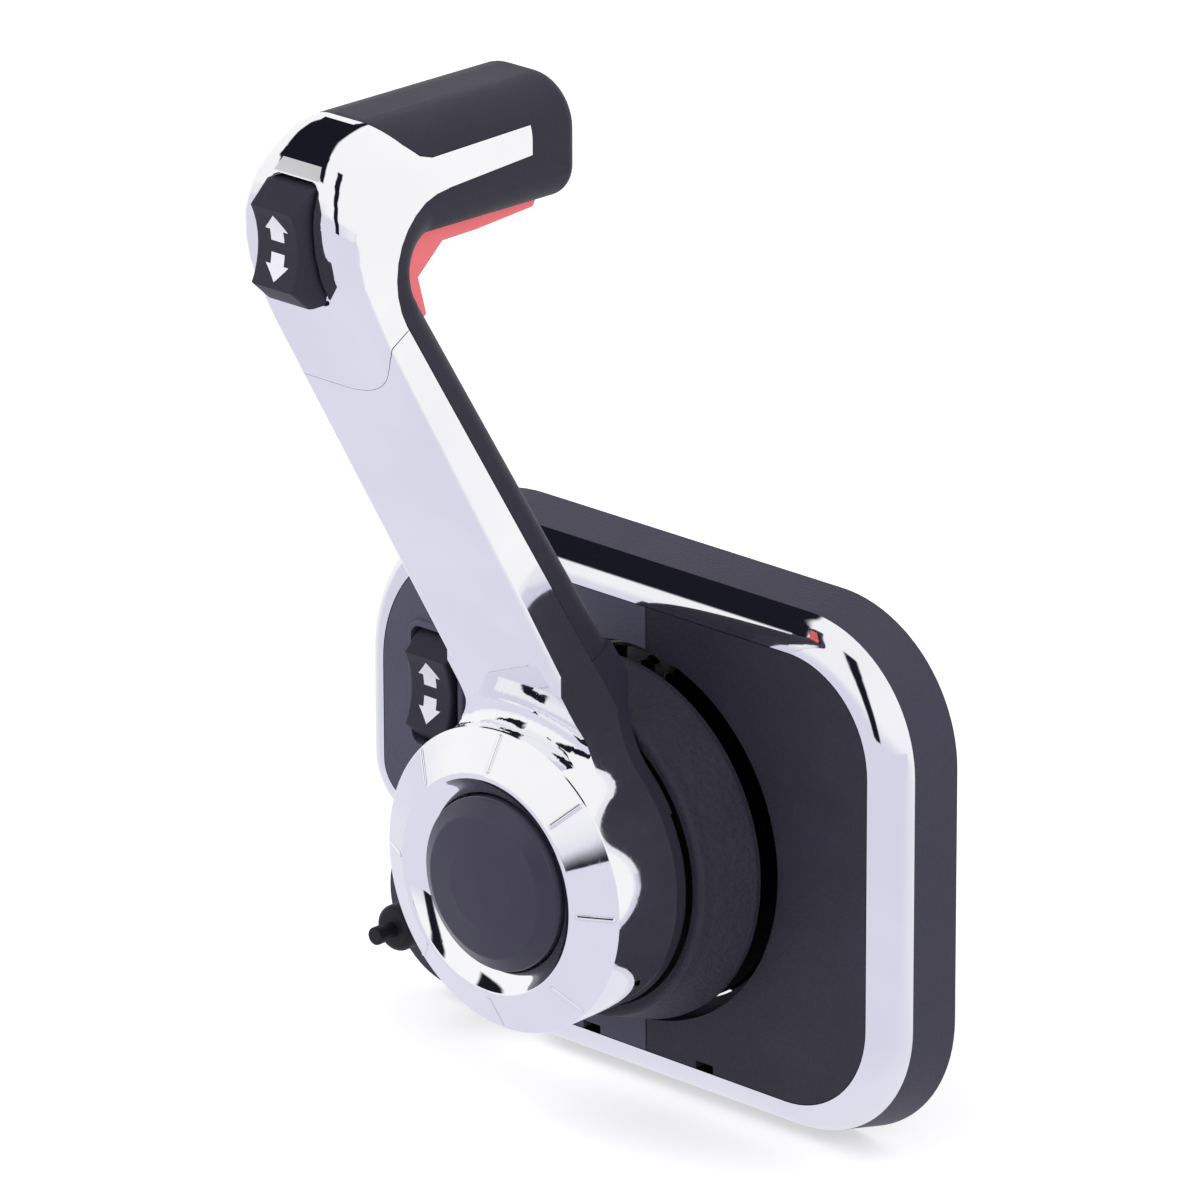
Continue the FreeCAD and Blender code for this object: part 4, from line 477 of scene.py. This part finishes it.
class Wardrobe:
    """Every finish of the control, made once and handed out by name."""

    finishes = (
        MouldedPlastic("base_black", (0.042, 0.039, 0.063), (0.068, 0.063, 0.096), 0.52, 0.0007, 0.00010),
        # face_black's pale tone is mostly painted light on the cover left of its crease.
        FacePlastic("face_black", (0.018, 0.016, 0.029), (0.118, 0.114, 0.166), 0.55, 0.0008, 0.00010),
        MouldedPlastic("collar_black", (0.014, 0.012, 0.023), (0.050, 0.047, 0.072), 0.62, 0.0013, 0.00026),
        MouldedPlastic("grip_black", (0.024, 0.022, 0.037), (0.040, 0.037, 0.057), 0.50, 0.0005, 0.00006,
                       gloss=0.20),
        MouldedPlastic("button_black", (0.042, 0.038, 0.063), (0.060, 0.056, 0.086), 0.32, 0.0003, 0.00001),
        MouldedPlastic("rocker_black", (0.020, 0.018, 0.031), (0.036, 0.033, 0.051), 0.50, 0.0005, 0.00004),
        MouldedPlastic("switch_black", (0.007, 0.006, 0.012), (0.014, 0.013, 0.022), 0.55, 0.0006, 0.00004),
        # release_red glows as painted light, brightening the bar on its shaded underside.
        MouldedPlastic("release_red", (0.80, 0.150, 0.160), (0.92, 0.210, 0.225), 0.52, 0.0005, 0.00002,
                       glow=0.30),
        # mark_white glows a little as painted light.
        MouldedPlastic("mark_white", (0.90, 0.89, 0.95), (0.95, 0.94, 0.98), 0.55, 0.0004, 0.00001,
                       glow=0.10),
        # trim_chrome carries painted shade on the ledge and wall round the cover.
        TrimChrome("trim_chrome", (0.90, 0.90, 0.93), (0.82, 0.82, 0.87), 0.035),
        Chrome("lever_chrome", (0.93, 0.93, 0.95), (0.87, 0.87, 0.91), 0.025),
        # ring_chrome carries painted shade round the foot of the ring's ticks.
        CornerShadedChrome("ring_chrome", (0.93, 0.93, 0.95), (0.87, 0.87, 0.91), 0.025),
        # The casting's near-black colour is painted shade for the gap round the collar.
        GapShadedCasting("gap_shaded_casting", (0.36, 0.36, 0.38), (0.16, 0.16, 0.18), 0.42, 0.0009, 0.00012),
        Metal("cast_metal", (0.33, 0.33, 0.36), (0.20, 0.20, 0.22), 0.42, 0.0009, 0.00008),
        Metal("ground_steel", (0.56, 0.56, 0.58), (0.36, 0.36, 0.38), 0.22, 0.0007, 0.00001, (1.0, 0.1, 1.0)),
        Metal("bush_brass", (0.72, 0.52, 0.24), (0.46, 0.32, 0.14), 0.25, 0.0007, 0.00001),
    )

    def __init__(self) -> None:
        """Make all the materials."""
        self.made = {finish.name: finish.make() for finish in self.finishes}

    def dress(self, piece: bpy.types.Object, finish: str) -> None:
        """Give a piece one finish on its whole surface.

        Args:
            piece: Mesh or CAD node.
            finish: Name of the finish.
        """
        piece.data.materials.clear()
        piece.data.materials.append(self.made[finish])

    def dress_nodes(self, finish: str, names: tuple) -> None:
        """Give CAD nodes a finish and report them."""
        for name in names:
            self.dress(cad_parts[name], finish)
            log.info("%s dressed in %s", name, finish)


# Mesh helpers

def new_piece(name: str, vertices: list, faces: list) -> bpy.types.Object:
    """Make a mesh object from points and faces.

    Args:
        name: Name of the piece.
        vertices: Points in metres.
        faces: Tuples of vertex numbers.

    Returns:
        The object, linked into the scene.
    """
    mesh = bpy.data.meshes.new(name)
    mesh.from_pydata([tuple(point) for point in vertices], [], faces)
    mesh.update()
    shape = bmesh.new()
    shape.from_mesh(mesh)
    bmesh.ops.recalc_face_normals(shape, faces=shape.faces)
    shape.to_mesh(mesh)
    shape.free()
    piece = bpy.data.objects.new(name, mesh)
    bpy.context.scene.collection.objects.link(piece)
    return piece


def join_faces(node: bpy.types.Object, reach: float = 0.000004) -> None:
    """Join a CAD node's faces at their shared edges so that they shade together."""
    weld = node.modifiers.new("join_faces", "WELD")
    weld.merge_threshold = reach


def keep_creases(node: bpy.types.Object, angle: float) -> None:
    """Keep only edges over an angle in degrees sharp."""
    split = node.modifiers.new("keep_creases", "EDGE_SPLIT")
    split.split_angle = math.radians(angle)
    split.use_edge_sharp = False


def round_edges(node: bpy.types.Object, width: float, sharp: float = 35.0, crease: float = 50.0,
                segments: int = 4) -> None:
    """Round the edges of a CAD node inwards.

    Args:
        node: The CAD node.
        width: Width of the rounding in metres.
        sharp: Angle in degrees over which an edge is rounded.
        crease: Angle in degrees over which an edge stays sharp after it.
        segments: Faces across the rounding.
    """
    join_faces(node)
    bevel = node.modifiers.new("round_edges", "BEVEL")
    bevel.width = width
    bevel.segments = segments
    bevel.limit_method = "ANGLE"
    bevel.angle_limit = math.radians(sharp)
    keep_creases(node, crease)


# Sub-assemblies

@dataclass
class TrimRocker:
    """A rocker switch with two inlaid arrows on its hollow face."""

    name: str
    group: Group
    pivot: tuple
    face_middle: float = 6.6
    face_ridge: float = 9.0
    ridge_height: float = 9.9
    arrow_near: float = 1.5
    arrow_tip: float = 8.4
    head_length: float = 4.0
    head_half_width: float = 3.8
    stem_half_width: float = 2.2
    tip_half_width: float = 0.02
    proud: float = 0.05
    sunk: float = 0.25
    rows: int = 12
    softness: float = 0.0011

    def face_depth(self, height: float) -> float:
        """How far the hollow face stands before the pivot at a height, in millimetres."""
        rise = self.face_ridge - self.face_middle
        radius = (self.ridge_height ** 2 + rise ** 2) / (2 * rise)
        return -self.face_middle - radius + math.sqrt(radius ** 2 - height ** 2)

    def half_widths(self) -> list:
        """Rows of one arrow as height and half width, from its foot to its tip."""
        neck = self.arrow_tip - self.head_length
        stem = [(self.arrow_near + (neck - self.arrow_near) * i / self.rows, self.stem_half_width)
                for i in range(self.rows + 1)]
        head = [(neck + self.head_length * i / self.rows,
                 self.head_half_width * (1 - i / self.rows) + self.tip_half_width)
                for i in range(self.rows + 1)]
        return stem + head

    def arrow(self, way: int) -> tuple:
        """Points and faces of one arrow, a thin inlay that follows the hollow face.

        Args:
            way: 1 for the arrow that points up, -1 for down.

        Returns:
            Points in metres and faces.
        """
        points = []
        for height, half in self.half_widths():
            for side, lift in ((-1, -self.proud), (1, -self.proud), (1, self.sunk), (-1, self.sunk)):
                x = self.pivot[0] + side * half
                y = self.pivot[1] + self.face_depth(height) + lift
                z = self.pivot[2] + way * height
                points.append(Vector((x, y, z)) * MM)
        count = len(points) // 4
        faces = [(0, 1, 2, 3), tuple(4 * (count - 1) + corner for corner in (3, 2, 1, 0))]
        for row in range(count - 1):
            low = 4 * row
            for corner in range(4):
                following = (corner + 1) % 4
                faces.append((low + corner, low + 4 + corner, low + 4 + following, low + following))
        return points, faces

    def build(self, wardrobe: Wardrobe) -> list:
        """Make and dress the arrows and the rocker itself.

        Args:
            wardrobe: The finishes.

        Returns:
            The new pieces.
        """
        pieces = []
        for label, way in (("up", 1), ("down", -1)):
            points, faces = self.arrow(way)
            piece = new_piece(f"{self.name}_arrow_{label}", points, faces)
            wardrobe.dress(piece, "mark_white")
            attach(piece, self.group.value)
            pieces.append(piece)
        wardrobe.dress_nodes("rocker_black", (self.name,))
        round_edges(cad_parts[self.name], self.softness)
        return pieces


@dataclass
class PanelPlate:
    """Base, chrome trim, cover and the collar round the hub."""

    base: tuple = ("base_frame",)
    trim: tuple = ("trim_ring",)
    cover: tuple = ("face_cover",)
    collar: tuple = ("hub_collar",)

    def build(self, wardrobe: Wardrobe) -> list:
        """Dress the plate's nodes; it has no new pieces."""
        wardrobe.dress_nodes("base_black", self.base)
        wardrobe.dress_nodes("trim_chrome", self.trim)
        wardrobe.dress_nodes("face_black", self.cover)
        wardrobe.dress_nodes("collar_black", self.collar)
        return []


@dataclass
class LeverHandle:
    """Chrome arm and elbow with the black shell that forms the grip."""

    chrome: tuple = ("lever_arm", "elbow_cap")
    ring: tuple = ("hub_ring",)
    black: tuple = ("rear_shell", "hub_rear_ring")
    red: tuple = ("release_bar",)
    button: tuple = ("throttle_button",)
    faceted: tuple = ("elbow_cap", "rear_shell")
    crease_angle: float = 24.0
    blended: tuple = ("lever_arm",)
    blended_angle: float = 48.0
    blended_weight: int = 70

    def build(self, wardrobe: Wardrobe) -> list:
        """Dress the handle's nodes; it has no new pieces."""
        for name in self.faceted:
            join_faces(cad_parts[name])
            keep_creases(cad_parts[name], self.crease_angle)
        for name in self.blended:
            join_faces(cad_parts[name])
            keep_creases(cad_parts[name], self.blended_angle)
            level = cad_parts[name].modifiers.new("weigh_faces", "WEIGHTED_NORMAL")
            level.weight = self.blended_weight
        wardrobe.dress_nodes("lever_chrome", self.chrome)
        wardrobe.dress_nodes("ring_chrome", self.ring)
        wardrobe.dress_nodes("grip_black", self.black)
        wardrobe.dress_nodes("release_red", self.red)
        wardrobe.dress_nodes("button_black", self.button)
        return []


@dataclass
class StopSwitch:
    """Lanyard stop switch in the lower left corner of the base."""

    plastic: tuple = ("lanyard_switch", "lanyard_plunger")
    hidden: tuple = ("lanyard_nut",)
    steel: tuple = ("lanyard_spring",)

    def build(self, wardrobe: Wardrobe) -> list:
        """Dress the switch's nodes; it has no new pieces."""
        wardrobe.dress_nodes("switch_black", self.plastic + self.hidden)
        wardrobe.dress_nodes("ground_steel", self.steel)
        return []


@dataclass
class Mechanism:
    """Housing, shafts, gears and outputs behind the panel."""

    gap_shaded: tuple = ("main_housing",)
    cast: tuple = ("rear_cover",)
    brass: tuple = ("front_bushing", "rear_bushing")
    black: tuple = ("friction_screw", "neutral_switch", "panel_switch", "handle_switch")
    steel: tuple = (
        "detent_plunger", "cable_bracket", "housing_screws", "cover_screws", "collar_screws", "main_shaft",
        "lever_screw", "lever_washer", "drive_pinion", "shaft_clip", "release_rod", "release_spring",
        "handle_rocker_pin", "panel_rocker_pin", "button_spring", "shift_gear", "shift_shaft", "shift_arm",
        "shift_nut", "throttle_gear", "throttle_shaft", "throttle_arm", "throttle_nut",
    )

    def build(self, wardrobe: Wardrobe) -> list:
        """Dress the mechanism's nodes; it has no new pieces."""
        # The main housing carries painted shade for the dark gap round the collar.
        wardrobe.dress_nodes("gap_shaded_casting", self.gap_shaded)
        wardrobe.dress_nodes("cast_metal", self.cast)
        wardrobe.dress_nodes("bush_brass", self.brass)
        wardrobe.dress_nodes("switch_black", self.black)
        wardrobe.dress_nodes("ground_steel", self.steel)
        return []


# Studio and camera

@dataclass(frozen=True)
class PaintedReflectionWall:
    """Painted reflection: a dark upright or level stretch far round the object that only glossy rays see, so
    it shows only in reflections.
    """

    axis: tuple
    level: float
    half_width: float
    towards: tuple
    reach: float
    edge: float = 0.03

    def share(self, book: NodeBook, way: Wire) -> Wire:
        """How dark each direction is.

        Args:
            book: Node tree of the world.
            way: Direction.

        Returns:
            Wire from zero, pale, to one, dark.
        """
        gap = self.along(book, way, self.axis) - self.level
        off = gap.math("ABSOLUTE", gap)
        ahead = self.along(book, way, self.towards)
        inside = 1.0 - book.remap(off, self.half_width - self.edge, self.half_width + self.edge)
        return inside * book.remap(ahead, self.reach - self.edge, self.reach + self.edge)

    @staticmethod
    def along(book: NodeBook, way: Wire, axis: tuple) -> Wire:
        """Part of a direction along an axis."""
        node = book.add("VectorMath", {"operation": "DOT_PRODUCT"}, {0: way, 1: axis})
        return book.out(node, "Value")


@dataclass
class Studio:
    """Floor, soft lamps and a pale world whose painted reflections, dark walls seen only by glossy rays, give
    the chrome its contrast.
    """

    floor_height: float = -0.0715
    floor_size: float = 12.0
    paper: Backdrop = Backdrop("studio_paper", (0.80, 0.80, 0.81), 0.56)
    world_light: tuple = (0.93, 0.93, 1.0)
    world_level: float = 0.55
    upper: tuple = (1.0, 1.0, 1.0)
    lower: tuple = (0.76, 0.755, 0.87)
    lean: float = 0.25
    horizon: tuple = (-0.25, 0.10)
    wobble: float = 0.10
    wobble_size: float = 0.35
    painted_reflection_walls: tuple = (
        PaintedReflectionWall((0.0, 0.0, 1.0), 0.69, 0.16, (-1.0, 0.0, 0.0), 0.48),
        PaintedReflectionWall((0.951, 0.309, 0.0), 0.0, 0.12, (0.309, -0.951, 0.0), 0.40),
    )
    painted_reflection_dark: tuple = (0.010, 0.010, 0.018)
    aim: tuple = (0.0, -0.06, 0.06)
    lamps: tuple = (
        ("key_lamp", (-1.1, -1.3, 1.9), 1.3, 19.0),
        ("fill_lamp", (1.9, -0.9, 1.2), 1.2, 9.0),
        ("back_lamp", (0.6, 1.5, 1.6), 1.4, 10.0),
    )

    def build(self) -> None:
        """Make the whole studio."""
        half = self.floor_size / 2
        corners = [(-half, -half, self.floor_height), (half, -half, self.floor_height),
                   (half, half, self.floor_height), (-half, half, self.floor_height)]
        floor = new_piece("studio_floor", corners, [(0, 1, 2, 3)])
        floor.data.materials.append(self.paper.make())
        self.light_world()
        for name, place, size, power in self.lamps:
            self.hang_lamp(name, place, size, power)

    def mirrored_room(self, book: NodeBook) -> Wire:
        """Colour of the painted reflection room by direction, seen only by glossy rays: white above and
        behind, pale lavender below and in front, with dark walls.
        """
        way = book.out(book.add("TexCoord"), "Generated")
        noise = book.add("TexNoise", values={"Vector": way, "Scale": 1.0 / self.wobble_size, "Detail": 2.0})
        parts = book.add("SeparateXYZ", values={"Vector": way})
        height = book.out(parts, "Z") + book.out(parts, "Y") * self.lean
        bent = height + (book.out(noise) - 0.5) * self.wobble
        colour = book.blend(book.remap(bent, *self.horizon), self.lower, self.upper)
        for wall in self.painted_reflection_walls:
            colour = book.blend(wall.share(book, way), colour, self.painted_reflection_dark)
        return colour

    def light_world(self) -> None:
        """World: white to the camera, the mirrored room to glossy rays as a painted reflection, and plain
        soft light to the rest.
        """
        world = bpy.data.worlds.new("studio_world")
        bpy.context.scene.world = world
        world.use_nodes = True
        book = NodeBook(world.node_tree)
        path = book.add("LightPath")
        light = (*self.world_light, 1.0)
        soft = book.add("Background", values={"Color": light, "Strength": self.world_level})
        white = book.add("Background", values={"Color": (1.0, 1.0, 1.0, 1.0), "Strength": 1.0})
        painted_reflection_room = book.add("Background", values={"Color": self.mirrored_room(book), "Strength": 1.0})
        clear = book.out(path, "Is Camera Ray") + book.out(path, "Is Transmission Ray")
        seen = book.add("MixShader", values={0: clear, 1: book.out(soft), 2: book.out(white)})
        final = book.add("MixShader", values={0: book.out(path, "Is Glossy Ray"), 1: book.out(seen),
                                              2: book.out(painted_reflection_room)})
        book.add("OutputWorld", values={"Surface": book.out(final)})

    def hang_lamp(self, name: str, place: tuple, size: float, power: float) -> None:
        """Hang a square soft lamp that looks at the object.

        Args:
            name: Name of the lamp.
            place: Where it hangs, in metres.
            size: Side of the square.
            power: Power in watts.
        """
        data = bpy.data.lights.new(name, "AREA")
        data.size = size
        data.energy = power
        lamp = bpy.data.objects.new(name, data)
        bpy.context.scene.collection.objects.link(lamp)
        lamp.location = place
        lamp.visible_glossy = False
        lamp.rotation_mode = "QUATERNION"
        lamp.rotation_quaternion = (Vector(place) - Vector(self.aim)).to_track_quat("Z", "Y")


@dataclass
class ViewCamera:
    """Camera at the photograph's viewing angle."""

    place: tuple = (1.7419, -1.8726, 1.0068)
    right: tuple = (0.72704, 0.68659, -0.00264)
    up: tuple = (-0.23733, 0.25492, 0.93739)
    forward: tuple = (-0.64428, 0.68089, -0.34828)
    sensor: float = 36.0
    lens: float = 323.507
    near: float = 0.5
    far: float = 20.0

    def build(self) -> bpy.types.Object:
        """Make the camera the scene's own."""
        data = bpy.data.cameras.new("main_camera")
        data.sensor_width = self.sensor
        data.sensor_fit = "HORIZONTAL"
        data.lens = self.lens
        data.clip_start = self.near
        data.clip_end = self.far
        camera = bpy.data.objects.new("main_camera", data)
        bpy.context.scene.collection.objects.link(camera)
        back = -Vector(self.forward)
        turn = Matrix((self.right, self.up, back)).transposed()
        camera.matrix_world = Matrix.Translation(Vector(self.place)) @ turn.to_4x4()
        bpy.context.scene.camera = camera
        return camera


@dataclass
class ThrottleControl:
    """The whole control in the order in which it is built."""

    parts: list = field(default_factory=lambda: [
        PanelPlate(),
        LeverHandle(),
        TrimRocker("handle_rocker", Group.HANDLE_TRIM, (0.0, -137.0, 185.8)),
        TrimRocker("panel_rocker", Group.PANEL_TRIM, (-68.0, -16.6, 20.5)),
        StopSwitch(),
        Mechanism(),
    ])

    def build(self) -> None:
        """Build every sub-assembly and report its pieces."""
        wardrobe = Wardrobe()
        for part in self.parts:
            for piece in part.build(wardrobe):
                log.info("%s: %d faces", piece.name, len(piece.data.polygons))


def main() -> None:
    """Build the control, the studio and the camera."""
    logging.basicConfig(level=logging.INFO, format="%(name)s: %(message)s")
    bpy.context.scene.view_settings.view_transform = "Standard"
    ThrottleControl().build()
    Studio().build()
    ViewCamera().build()


if __name__ == "__main__":
    main()
